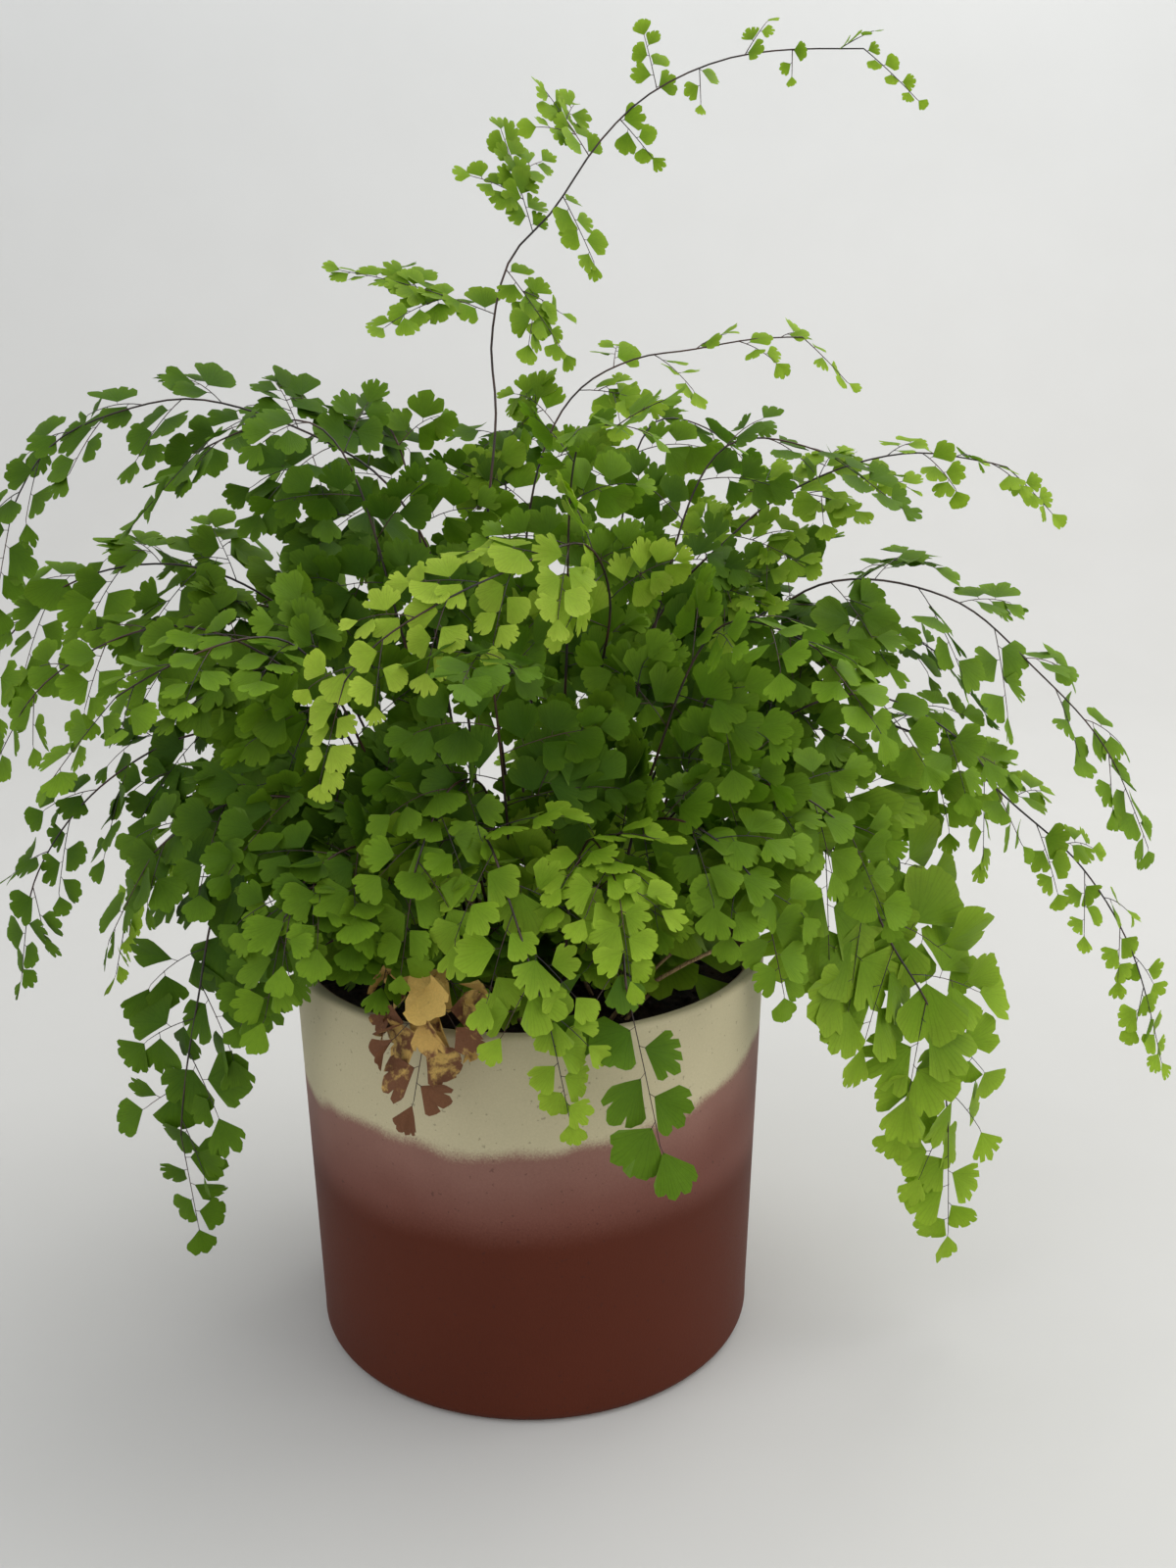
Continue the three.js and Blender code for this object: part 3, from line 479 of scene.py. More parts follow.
# A frond's shade is partly its own colour and partly painted light: those on the left are darker,
# as if in shade, and those on the right and at the top brighter, as if in the light from above and
# to the right.
NAMED_FRONDS = [
    Frond("tall_back", "bright", leaf=14, tip=0.5, size=0.74, pitch=0.3, first=0.04, reach=76,
          branches=11, bare=0.53, low=0, taper=2, sag=0.35, droop=0.9, face=(0, -1, 0.45),
          lift=0.6, root=(-4, 24),
          points=[(-14, 32, 270), (-9, 40, 328), (-10, 44, 353), (-3, 48, 380), (12, 50, 396),
                  (29, 50, 419), (46, 50, 434), (73, 48, 445), (109, 42, 447), (132, 34, 443),
                  (138, 28, 428)]),
    Frond("right_upper", "bright", leaf=12, tip=0.6, reach=42, bare=0.5, low=0, face=(0, -0.6, 1),
          lift=0.4, root=(8, 38),
          points=[(0, 48, 270), (9, 50, 317), (22, 56, 336), (42, 60, 346), (62, 60, 349),
                  (90, 58, 353), (112, 54, 351), (122, 50, 336)]),
    Frond("left_arch", "dark", leaf=15, tip=0.9, size=0.92, reach=50, branches=12, bare=0.48,
          low=0, face=(0, -0.55, 1), lift=0.3, root=(-16, 12),
          points=[(-28, 22, 266), (-46, 22, 304), (-70, 22, 321), (-109, 20, 334), (-133, 18, 331),
                  (-158, 16, 320), (-173, 12, 298), (-182, 8, 264)]),
    Frond("left_far", "mid", leaf=15, tip=0.9, reach=56, branches=12, bare=0.4,
          face=(-0.1, -0.6, 1), lift=0.2, root=(-30, 22),
          points=[(-60, 34, 232), (-112, 34, 274), (-158, 28, 272), (-190, 22, 242),
                  (-203, 18, 196)]),
    Frond("left_low", "dark", leaf=13, reach=50, bare=0.4, face=(-0.3, -0.7, 0.8), lift=0.2,
          root=(-44, 6),
          points=[(-66, 4, 200), (-108, 4, 222), (-146, 0, 206), (-172, -4, 174),
                  (-182, -6, 132)]),
    Frond("left_hanging", "dark", leaf=17, tip=0.6, size=1.28, pitch=0.38, reach=34, bare=0.45,
          face=(-0.4, -1, 0.4), root=(-36, -18),
          points=[(-54, -20, 190), (-76, -30, 206), (-94, -38, 196), (-104, -42, 172),
                  (-110, -45, 145), (-117, -46, 112), (-120, -46, 84), (-116, -44, 53)]),
    Frond("left_middle", "mid", leaf=14, reach=54, bare=0.38, face=(-0.2, -0.7, 0.9), lift=0.1,
          root=(-40, -6),
          points=[(-70, 2, 232), (-116, 0, 260), (-160, -6, 244), (-188, -10, 204)]),
    Frond("left_front", "dark", leaf=15, reach=54, bare=0.34, face=(-0.3, -0.8, 0.8),
          root=(-30, -24),
          points=[(-52, -38, 200), (-86, -52, 214), (-116, -60, 200), (-136, -64, 168)]),
    Frond("front_left", "dark", leaf=14, reach=46, face=(-0.2, -1, 0.7), root=(-22, -34),
          points=[(-36, -46, 192), (-58, -66, 200), (-78, -82, 182), (-90, -90, 150)]),
    Frond("right_arch", "bright", leaf=10.5, tip=0.7, reach=46, branches=12, bare=0.46,
          face=(0, -0.5, 1), lift=0.3, root=(12, 8),
          points=[(24, 10, 210), (52, 8, 268), (70, 8, 286), (84, 8, 298), (108, 6, 310),
                  (131, 4, 315), (151, 4, 313), (169, 2, 308), (183, 0, 294)]),
    Frond("right_shoulder", "mid", leaf=15, reach=54, branches=12, face=(0.1, -0.6, 1), lift=0.1,
          root=(32, 22),
          points=[(58, 24, 220), (104, 20, 268), (150, 13, 264), (182, 8, 238), (206, 4, 212),
                  (228, 2, 170)]),
    Frond("right_far", "bright", leaf=11.5, reach=36, branches=12, bare=0.44, low=6,
          face=(0.2, -0.7, 0.8), lift=0.2, root=(46, 4),
          points=[(64, 6, 188), (104, 8, 222), (144, 8, 214), (180, 8, 186), (203, 8, 165),
                  (224, 8, 133), (241, 6, 84)]),
    Frond("right_hanging", "bright", leaf=19, tip=0.6, size=1.4, pitch=0.38, reach=46, branches=12,
          low=6, face=(0.35, -1, 0.35), root=(38, -16),
          points=[(50, -20, 176), (72, -26, 194), (98, -30, 190), (114, -31, 172), (124, -32, 152),
                  (139, -34, 126), (146, -34, 92), (150, -34, 35)]),
    Frond("right_middle", "mid", leaf=14, reach=52, face=(0.2, -0.7, 0.9), lift=0.1, root=(40, 14),
          points=[(72, -2, 212), (112, -14, 236), (148, -22, 220), (172, -26, 182)]),
    Frond("right_front", "mid", leaf=14, size=1.1, reach=50, bare=0.34, low=7,
          face=(0.2, -0.9, 0.8), root=(34, -4),
          points=[(52, -24, 200), (80, -42, 212), (104, -52, 198), (118, -56, 168)]),
    Frond("front_right", "mid", leaf=14, size=1.1, reach=48, bare=0.32, low=7, face=(0.1, -1, 0.7),
          root=(20, -20),
          points=[(30, -40, 196), (50, -62, 206), (70, -76, 190), (80, -83, 152)]),
    Frond("front_middle", "mid", leaf=14, reach=34, bare=0.4, face=(0, -1, 0.6), root=(-10, -24),
          points=[(-14, -46, 214), (-24, -68, 220), (-34, -86, 200), (-40, -92, 166)]),
    Frond("golden", "gold", leaf=14, tip=0.7, size=0.88, pitch=0.35, reach=36, branches=12,
          bare=0.46, low=0, face=(0.1, -0.8, 0.8), root=(10, -12),
          points=[(20, -24, 226), (27, -40, 274), (18, -56, 293), (-3, -72, 288), (-26, -84, 279),
                  (-45, -92, 267), (-57, -97, 249), (-61, -98, 228)]),
    Frond("front_bright", "bright", leaf=14, reach=38, bare=0.4, face=(0, -0.9, 0.5),
          root=(-12, -34),
          points=[(-16, -46, 184), (-18, -60, 204), (-12, -79, 206), (-5, -94, 189),
                  (2, -104, 168), (8, -110, 149), (12, -112, 126)]),
    Frond("front_dark", "dark", leaf=17, tip=1, size=0.86, pitch=0.56, shrink=-0.2, reach=20,
          branches=2, bare=0.42, low=0, row=3.3, face=(0.1, -1, 0.3), root=(22, -36),
          points=[(26, -60, 168), (28, -82, 174), (29, -98, 162), (35, -107, 142), (38, -110, 131),
                  (40, -111, 113)]),
    Frond("withered", "withered", leaf=13, tip=0.9, size=1.2, reach=18, branches=6, bare=0.5,
          low=0, face=(-0.2, -1, 0.3), root=(-18, -42),
          points=[(-26, -64, 160), (-30, -82, 163), (-31, -94, 157), (-34, -101, 148),
                  (-37, -103, 129)]),
]
OTHER_FRONDS = 18
OTHER_SHADES = ["mid", "dark", "mid", "bright", "mid", "dark"]
OTHER_LIFT = 0.15
TIERS = [  # apex and tip are radius and height
    dict(level="low", root=52, apex=(98, 196), tip=(150, 128), leaf=14, reach=44, bare=0.36,
         low=3, size=1),
    dict(level="middle", root=40, apex=(104, 265), tip=(168, 216), leaf=15, reach=52,
         bare=0.38, low=3, size=0.95),
    dict(level="upper", root=24, apex=(72, 322), tip=(126, 296), leaf=14, reach=48, bare=0.42,
         low=0, size=0.9),
]
GOLDEN_TURN = 2.39996
FIRST_TURN = 0.35
FRONT_LIFT = 48
FRONT_PULL = 34
SCATTER = 14
LEAF_SCATTER = 0.15
STEM_DEPTH = 14
STEM_RISE = 22
ROUTE_STEPS = 24
HEADING_STEP = 0.004


def scatter(first, second):
    """A number from 0 to 1 that looks random: the fraction left of a large sine wave."""
    wave = np.sin(np.asarray(first) * 12.9898 + np.asarray(second) * 78.233 + 3) * 43758.5453
    return wave - np.floor(wave)


def other_frond(index):
    """A frond of one tier: its radius and height at apex and tip, turned by the golden angle."""
    tier = TIERS[index % len(TIERS)]
    turn = FIRST_TURN + GOLDEN_TURN * index
    out = np.array([math.cos(turn), math.sin(turn)])
    shift = [SCATTER * (float(scatter(index, key)) - 0.5) for key in range(7)]
    front = max(0.0, -out[1]) ** 2
    tip_radius, tip_height = (np.add(tier["tip"], shift[1:3])
                              + (-FRONT_PULL * front, FRONT_LIFT * front))
    apex_radius, apex_height = (np.add(tier["apex"], shift[3:5])
                                - (FRONT_PULL * 0.5 * front, 0))
    soil_top = SOIL_CROWN / MM

    def at(radius, height, side=0.0):
        """The point at this radius and height, moved sideways."""
        return (out[0] * radius - out[1] * side, out[1] * radius + out[0] * side, height)

    return Frond(
        f"{tier['level']}_{index + 1}", OTHER_SHADES[index % len(OTHER_SHADES)],
        leaf=tier["leaf"] + shift[6] * LEAF_SCATTER, lift=OTHER_LIFT,
        **{rule: tier[rule] for rule in ("bare", "reach", "low", "size")},
        face=(out[0] * 0.3, out[1] * 0.3 - 0.25, 1), root=at(tier["root"], 0)[:2],
        points=[
            at((tier["root"] + apex_radius) * 0.42,
               soil_top + (apex_height - soil_top) * 0.62, shift[5] * 0.3),
            at(apex_radius * 0.9, apex_height, shift[5]),
            at((apex_radius + tip_radius) * 0.54, apex_height * 0.65 + tip_height * 0.35,
               shift[5]),
            at(tip_radius, tip_height, shift[5] * 0.5),
        ])


def smooth_route(knots, per_stretch):
    """A centripetal Catmull-Rom curve: a cubic between knots, its slopes from their spacing."""
    padded = np.vstack([2 * knots[0] - knots[1], knots, 2 * knots[-1] - knots[-2]])
    step = np.diff(padded, axis=0)
    gap = np.sqrt(np.linalg.norm(step, axis=1))[:, None]
    slope = (step[:-1] / gap[:-1] - (padded[2:] - padded[:-2]) / (gap[:-1] + gap[1:])
             + step[1:] / gap[1:])
    leave, arrive = slope[:-1] * gap[1:-1], slope[1:] * gap[1:-1]
    start, end, leave, arrive = (part[:, None] for part in (
        knots[:-1], knots[1:], leave, arrive))
    t = np.linspace(0, 1, per_stretch, endpoint=False)[None, :, None]
    curve = (start + leave * t + (3 * (end - start) - 2 * leave - arrive) * t ** 2
             + (2 * (start - end) + leave + arrive) * t ** 3)
    return np.vstack([curve.reshape(-1, 3), knots[-1:]])


def unit(vectors):
    """The vectors at length one."""
    return vectors / np.linalg.norm(vectors, axis=-1, keepdims=True)


class Route:
    """A smooth curve that is read by the share of its length."""

    def __init__(self, knots):
        self.points = smooth_route(knots, ROUTE_STEPS)
        steps = np.linalg.norm(np.diff(self.points, axis=0), axis=1)
        self.lengths = np.concatenate([[0], np.cumsum(steps)])
        self.length = self.lengths[-1]

    def at(self, share):
        """The points at these shares of the length, between the nearest samples."""
        where = np.asarray(share) * self.length
        return np.stack([np.interp(where, self.lengths, self.points[:, axis])
                         for axis in range(3)], -1)

    def heading(self, share):
        """The unit direction of travel, from points just before and after."""
        share = np.asarray(share)
        return unit(self.at(np.minimum(share + HEADING_STEP, 1))
                    - self.at(np.maximum(share - HEADING_STEP, 0)))


def stem_route(frond):
    """A frond's stem: upright out of the soil, then along its own points."""
    x, y = frond.root
    radius = math.hypot(x, y) * MM
    foot = soil_height(radius) / MM - STEM_DEPTH
    upright = [(x, y, foot), (x, y, foot + STEM_DEPTH), (x, y, foot + STEM_DEPTH + STEM_RISE)]
    return Route(np.array(upright + list(frond.points)) * MM)


# ---- Fronds: side branches and leaflets ----
# From the bare stem up, alternate side branches stand out in the frond's plane and sag at their
# ends, the lowest the longest and branched once more. Each bears leaflets in turn left and right
# on hair-thin stalks, and one at its tip. The stem itself ends in such a row of leaflets.
BRANCH_ANGLE, ANGLE_LOSS = 1.15, 0.45  # in radians off the stem, and how much less at the tip
ANGLE_SCATTER = 0.5
FACE_SCATTER = 0.9
LEAST_SAG, MORE_SAG = 0.22, 0.2
ROW_SAG = 0.1
SHORTEST_BRANCH = 1.1  # in leaflets
LOWEST_BRANCH = 0.028  # along the stem from its foot, which stands inside the soil
LOW_END = 0.9  # the low branches end at this share of the bare stem
LOW_RISE = 0.15  # how much a low branch climbs for each length it goes out
LOW_LENGTH, LOW_MORE = 0.5, 0.35
SIDE_SAG = 0.1  # how much more low branches and twigs sag
TWIGS_FROM = 2.6  # in leaflets, the length from which a branch bears twigs
TWIG_PLACES = [0.24, 0.42]
TWIG_ANGLE = 0.95
TWIG_LENGTH, TWIG_LOSS = 0.62, 0.5
RIB_END = 0.82  # where on its branch the last leaflet's stalk begins
LEAFLET_ANGLE, LEAFLET_LOSS = 1.22, 0.4
STEP_SCATTER = 0.03
NOD, NOD_BACK = 0.6, 0.36
ROLL = 1.1
SIZE_LEAST, SIZE_MORE = 0.8, 0.3
STEM_AGE, RIB_AGE = 0.6, 0.4


def set_out(frond, route, key, number, along, share):
    """Start, direction, blade side and sag of the side branches at these places on the stem.

    A branch stands off the stem at an angle, wider to the right on a frond that droops.
    """
    heading = route.heading(along)
    across = unit(np.cross(heading, np.array(frond.face, dtype=float)))
    side = np.where(number % 2, 1, -1)
    spread = (BRANCH_ANGLE - ANGLE_LOSS * share
              + ANGLE_SCATTER * (scatter(key, number + 20) - 0.5)
              + np.where(side > 0, 1, 0.2) * frond.droop)
    direction = (heading * np.cos(spread)[:, None]
                 + across * (side * np.sin(spread))[:, None])
    facing = (unit(np.cross(across, heading)) * (1 - frond.lift)
              + np.array([0, 0, frond.lift])
              + across * (FACE_SCATTER * (scatter(key, number + 60) - 0.5))[:, None]
              + heading * (FACE_SCATTER * (scatter(key, number + 80) - 0.5))[:, None])
    return dict(start=route.at(along), direction=direction, facing=facing, share=share,
                sag=frond.sag * (LEAST_SAG + MORE_SAG * scatter(key, number + 40)))


def branches_of(frond, route, key):
    """Every side branch of a frond and, as the last one, the row at its tip.

    A branch's middle line is start + length (s direction - s squared sag up), s from 0 to 1.
    """
    leaf, reach = frond.leaf * MM, frond.reach * MM
    number = np.arange(frond.branches + 1)
    share = np.where(number == frond.branches, 1, (number + 0.5) / frond.branches)
    last = 1 - frond.row * leaf / route.length
    along = frond.bare + (last - frond.bare) * share
    branch = set_out(frond, route, key, number, along, share)
    shortest = SHORTEST_BRANCH * leaf
    length = shortest + (reach - shortest) * (1 - share) ** frond.taper
    length = length * np.where(number % 2, 1 - 0.4 * frond.droop, 1)
    row = route.at(1.0) - branch["start"][-1]
    length[-1] = np.linalg.norm(row)
    branch["direction"][-1] = row / length[-1]
    branch["sag"][-1] = ROW_SAG
    return dict(branch, length=length)


def low_branches_of(frond, route, key):
    """The small branches all round the lower stem, over the soil and the rim."""
    number = frond.branches + 1 + np.arange(frond.low)
    lowest, highest = LOWEST_BRANCH / route.length, LOW_END * frond.bare
    along = lowest + (highest - lowest) * (np.arange(frond.low) + 0.5) / max(frond.low, 1)
    branch = set_out(frond, route, key, number, along, np.zeros(frond.low))
    length = frond.reach * MM * (LOW_LENGTH + LOW_MORE * scatter(key, number + 100))
    turn = GOLDEN_TURN * number + key
    direction = np.stack([np.cos(turn), np.sin(turn), np.full(frond.low, LOW_RISE)], 1)
    facing = np.stack([0.3 * np.cos(turn), 0.3 * np.sin(turn) - 0.4, np.ones(frond.low)], 1)
    return dict(branch, direction=unit(direction), facing=facing, length=length,
                sag=branch["sag"] + SIDE_SAG)


def along_branch(branch, which, s):
    """Point, heading and blade normal of the chosen branches at the shares s of their length."""
    fall = np.array([0, 0, -1.0]) * (branch["sag"][which] * s)[:, None]
    direction = branch["direction"][which]
    point = branch["start"][which] + (direction + fall) * (s * branch["length"][which])[:, None]
    heading = unit(direction + 2 * fall)
    facing = branch["facing"][which]
    normal = unit(facing - heading * np.sum(facing * heading, -1, keepdims=True))
    return point, heading, normal


def twigs_of(frond, branch):
    """The branches on long branches: one to each side, a quarter and under half way out."""
    long = np.flatnonzero(branch["length"][:-1] > TWIGS_FROM * frond.leaf * MM)
    which, s = np.repeat(long, 2), np.tile(TWIG_PLACES, len(long))
    side = np.tile([1, -1], len(long))[:, None]
    start, heading, normal = along_branch(branch, which, s)
    sideways = np.cross(normal, heading)
    direction = heading * math.cos(TWIG_ANGLE) + sideways * side * math.sin(TWIG_ANGLE)
    return dict(start=start, direction=direction, facing=normal, share=branch["share"][which],
                sag=branch["sag"][which] + SIDE_SAG,
                length=branch["length"][which] * (TWIG_LENGTH - TWIG_LOSS * s))


def leaflets_of(frond, branch, key):
    """Foot, axis, normal, length and age of every leaflet, in turn left and right of its rib."""
    leaf = frond.leaf * MM
    count = np.maximum(2, np.rint(branch["length"] / (frond.pitch * leaf)).astype(int))
    which = np.repeat(np.arange(len(count)), count)
    number = np.arange(len(which)) - np.repeat(np.cumsum(count) - count, count)
    out = number / (count[which] - 1)
    last = out == 1
    pick = np.random.default_rng(100 + key)

    def draw():
        """A random number from 0 to 1 for each leaflet."""
        return pick.random(len(out))

    s = frond.first + (RIB_END - frond.first) * out + np.where(
        last, 0, STEP_SCATTER * (draw() - 0.5))
    point, heading, normal = along_branch(branch, which, s)
    sideways = np.cross(normal, heading)
    side = np.where((number + which) % 2, 1, -1)
    spread = (np.where(last, 0, LEAFLET_ANGLE - LEAFLET_LOSS * out)
              + ANGLE_SCATTER * (draw() - 0.5))
    axis = heading * np.cos(spread)[:, None] + sideways * (side * np.sin(spread))[:, None]
    nod = (NOD * draw() - NOD_BACK)[:, None]
    roll = (ROLL * (draw() - 0.5))[:, None]
    axis = unit(axis + normal * nod)
    over = unit(np.cross(normal, axis))
    normal = unit(np.cross(axis, over) + over * roll)
    share = branch["share"][which]
    size = (leaf * (1 - (1 - frond.tip) * share) * (1 - frond.shrink * out)
            * (SIZE_LEAST + SIZE_MORE * draw()) * frond.size)
    return dict(rib=point, axis=axis, normal=normal, side=np.where(last, 0, side), size=size,
                age=share * STEM_AGE + out * RIB_AGE, pick=pick)


# ---- Fronds: leaflet shape ----
# A leaflet is a thin fan that hangs on its stalk by one corner: two straight sides, and a round
# outer margin of a few lobes with slits between them. Each is cupped a little, no two alike.
LEAF_THICKNESS = 0.00024
STALK_SHARE = 0.13
COLUMNS = 17
MIDDLE_RING = 0.56
SLITS = [(4, 8, 12), (5, 11), (3, 8, 13), (3, 6, 10, 13), (4, 8, 13), (7, 12), (4, 7, 11),
         (3, 7, 10, 13)]
SLIT_CLOSE = 0.45
HALF_ANGLE, ANGLE_MORE = 0.76, 0.36  # in radians from the middle of the fan to its side
LAST_NARROW = 0.85  # a last leaflet is narrower, and a withered one has shrunk
WITHER_NARROW = 0.15
SLIT_DEPTH, DEPTH_MORE = 0.09, 0.21
RIPPLE = 0.03
CUP, CUP_BACK, WITHER_CUP = 0.3, 0.62, 0.5
FOLD, FOLD_BACK, WITHER_FOLD = 0.26, 0.4, 0.6
WAVE, WITHER_WAVE = 0.05, 0.1


def margin_patterns():
    """Turn and inward cut of the margin's points, for each way of placing the slits.

    A slit's own point is cut in; its neighbours close up to it and round off the lobes.
    """
    turns = np.tile(np.linspace(-1, 1, COLUMNS), (len(SLITS), 1))
    cuts, rounds = np.zeros(turns.shape), np.zeros(turns.shape)
    close = SLIT_CLOSE * (turns[0, 1] - turns[0, 0])
    for row, slits in enumerate(np.array(places) for places in SLITS):
        cuts[row, slits] = 1
        rounds[row, slits - 1] = rounds[row, slits + 1] = 1
        turns[row, slits - 1] += close
        turns[row, slits + 1] -= close
    return turns, cuts, rounds


def leaflet_mesh(leaflets, wither=0.0):
    """Closed lens-thin fans: a foot, a middle ring above and below, and a shared margin.

    A point is foot + axis x + over y + normal z, with x and y the cosine and sine of its turn
    times its reach, and z a cup that grows with the square of the reach.
    """
    pick = leaflets["pick"]
    size, side = leaflets["size"][:, None], leaflets["side"][:, None]
    axis, normal = leaflets["axis"], leaflets["normal"]
    count = len(size)
    kind = pick.integers(len(SLITS), size=count)
    turn, cut, soft = (pattern[kind] for pattern in margin_patterns())

    def draw():
        """A random number from 0 to 1 for each leaflet."""
        return pick.random(count)[:, None]

    half = HALF_ANGLE + ANGLE_MORE * draw()
    half = np.where(side == 0, half * LAST_NARROW, half) * (1 - WITHER_NARROW * wither)
    depth = SLIT_DEPTH + DEPTH_MORE * draw() ** 1.3
    ripple = RIPPLE * np.sin(turn * 13 + 6.28 * draw())
    reach = ((1 - 0.30 * np.abs(turn) ** 3.4 - 0.08 * side * turn)
             * (1 - depth * cut - (0.02 + 0.22 * depth) * soft) + ripple)
    angle = turn * half
    cup = CUP * (draw() - CUP_BACK) - WITHER_CUP * wither
    fold = FOLD * (draw() - FOLD_BACK) + WITHER_FOLD * wither
    wave = (WAVE + WITHER_WAVE * wither) * (0.4 + draw())
    phase = 6.28 * draw()
    over = np.cross(normal, axis)
    foot = leaflets["rib"] + axis * STALK_SHARE * size

    def ring(share, lift):
        """One ring of the fan at this share of its reach, lifted off the middle surface."""
        out = reach * share
        if share < 1:
            out = share * (0.6 * reach + 0.4 * reach.mean(1, keepdims=True)) * (
                1 - 0.10 * np.abs(turn) ** 4)
        x, y = out * np.cos(angle), out * np.sin(angle)
        z = (cup * out ** 2 + fold * out * np.abs(turn) ** 1.5 * share
             + wave * out ** 2 * np.sin(turn * 4.4 + phase))
        rise = z * size + lift * LEAF_THICKNESS * (1 - np.abs(turn) ** 6)
        return (foot[:, None] + axis[:, None] * (x * size)[..., None]
                + over[:, None] * (y * size)[..., None] + normal[:, None] * rise[..., None])

    points = np.concatenate([foot[:, None], ring(MIDDLE_RING, 0.5), ring(1.0, 0.0),
                             ring(MIDDLE_RING, -0.5)[:, 1:-1]], 1)
    k = np.arange(COLUMNS - 1)
    above, margin = 1 + k, 1 + COLUMNS + k
    below = np.concatenate([[1], 1 + 2 * COLUMNS + np.arange(COLUMNS - 2), [COLUMNS]])
    triangles = np.vstack([np.stack([0 * k, above, above + 1], 1),
                           np.stack([0 * k, below[1:], below[:-1]], 1)])
    quads = np.vstack([np.stack([above, margin, margin + 1, above + 1], 1),
                       np.stack([below[1:], margin + 1, margin, below[:-1]], 1)])
    return repeated(points, quads, triangles)


def paint_leaflets(piece, leaflets):
    """Gives each leaflet its own tint and age, and says which of its faces look down.

    The map runs across the fan from side to side, and outwards from foot to margin.
    """
    mesh = piece.data
    count, per_side = len(leaflets["size"]), COLUMNS - 1
    tint = leaflets["pick"].random(count)
    across, step = np.arange(per_side) / per_side, 1 / per_side
    patches = []
    for sideways, out, turned_over in (
            ([across, across, across + step, across + step],
             [MIDDLE_RING, 1, 1, MIDDLE_RING], [3, 2, 1, 0]),
            ([across + step / 2, across, across + step],
             [0, MIDDLE_RING, MIDDLE_RING], [0, 2, 1])):
        above = np.stack([np.stack(sideways, 1), np.tile(out, (per_side, 1))], 2)
        both = np.concatenate([above, above[:, turned_over]])
        patches.append(np.tile(both.reshape(-1, 2), (count, 1)))
    layer = mesh.uv_layers.new(name="blade")
    layer.data.foreach_set("uv", np.vstack(patches).astype(np.float32).ravel())
    facts = []
    for corners in (4, 3):
        each = 2 * per_side * corners
        under = np.repeat([0.0, 1.0], per_side * corners)
        facts.append(np.stack([np.repeat(tint, each), np.repeat(leaflets["age"], each),
                               np.tile(under, count), np.ones(count * each)], 1))
    colour = mesh.color_attributes.new(name="leaflet", type="FLOAT_COLOR", domain="CORNER")
    colour.data.foreach_set("color", np.vstack(facts).astype(np.float32).ravel())


# ---- Fronds: leaf colour ----
# Thin leaf tissue that lets light through: satin above, paler and duller below, with fine veins
# that fan out from the stalk. Young growth at the tips is yellower, and so is the outer margin.
# the first colour of each shade is painted shade, mixed in at random by tint and noise
LEAF_SHADES = {  # in shade, in plain light, and young
    # dark and bright are partly painted light: dark for fronds on the shaded left, bright for
    # those on the lit right and top
    "dark": ((0.038, 0.098, 0.006, 1), (0.072, 0.172, 0.009, 1), (0.145, 0.272, 0.014, 1)),
    "mid": ((0.066, 0.150, 0.006, 1), (0.118, 0.245, 0.010, 1), (0.230, 0.385, 0.022, 1)),
    "bright": ((0.125, 0.250, 0.009, 1), (0.225, 0.395, 0.018, 1), (0.385, 0.545, 0.045, 1)),
    "gold": ((0.235, 0.390, 0.020, 1), (0.345, 0.500, 0.035, 1), (0.490, 0.620, 0.075, 1)),
}
UNDERSIDE_PALE = (0.24, 0.36, 0.09, 1)
GLOW_TINT = (1.24, 1.26, 0.22, 1)
VEINS = 21.0
LEAF_THROUGH = 0.46  # share of the light that shines through
STRAW_YELLOW = (0.74, 0.52, 0.15, 1)
STRAW_OCHRE = (0.60, 0.38, 0.11, 1)
DEAD_BROWN = (0.20, 0.085, 0.040, 1)
WITHERED_THROUGH = 0.25


def leaf_tissue_group():
    """Colour from tint and noise between painted shade and plain light, then age and distance out;
    veins as fine rays across the blade's map.
    """
    given, result = new_group(
        "leaf_tissue",
        {"Shaded": "Color", "Plain": "Color", "Fresh": "Color", "Facts": "Color",
         "Place": "Vector", "Blade": "Vector"},
        {"Colour": "Color", "Roughness": "Float", "Relief": "Float"})
    tint, age, under = parts_of(given["Facts"], "Color")
    across, out, _ = parts_of(given["Blade"])
    cloud = noise_of(given["Place"], 130.0)
    grain = noise_of(given["Place"], 900.0, 3.0, 0.6)
    # painted shade: tint and noise mix the shaded colour into the lit one at random
    colour = blend_of(0.75 * tint + 0.6 * (cloud - 0.4), given["Shaded"], given["Plain"])
    young = 0.85 * age ** 1.6 + 0.55 * out ** 2.4
    colour = blend_of(young, colour, given["Fresh"])
    ray = (VEINS * (across + 0.02 * (grain - 0.5))).by("FRACT")
    vein = ramp_of((ray - 0.5).by("ABSOLUTE"), 0.30, 0.5)
    tone = 0.90 + 0.24 * grain - 0.13 * vein
    colour = blend_of(1.0, colour, tone, "MULTIPLY")
    pale = blend_of(0.30, colour, UNDERSIDE_PALE)
    colour = blend_of(under, colour, pale)
    return finished_group(result, {
        "Colour": colour, "Roughness": 0.46 + 0.22 * under + 0.14 * grain,
        "Relief": 0.7 * vein + grain})


LEAF_TISSUE = leaf_tissue_group()


def facts_of(material):
    """Tint, age and underside of the leaflet, as painted on its corners."""
    return node("ShaderNodeAttribute", tree=material.node_tree,
                attribute_name="leaflet")["Color"]


def let_through(material, surface, colour, share):
    """The material of a leaf: its surface, and this share of the light through it."""
    through = node("ShaderNodeBsdfTranslucent", {0: colour})[0]
    return finished(material, node("ShaderNodeMixShader", {
        0: share, 1: surface, 2: through})[0])


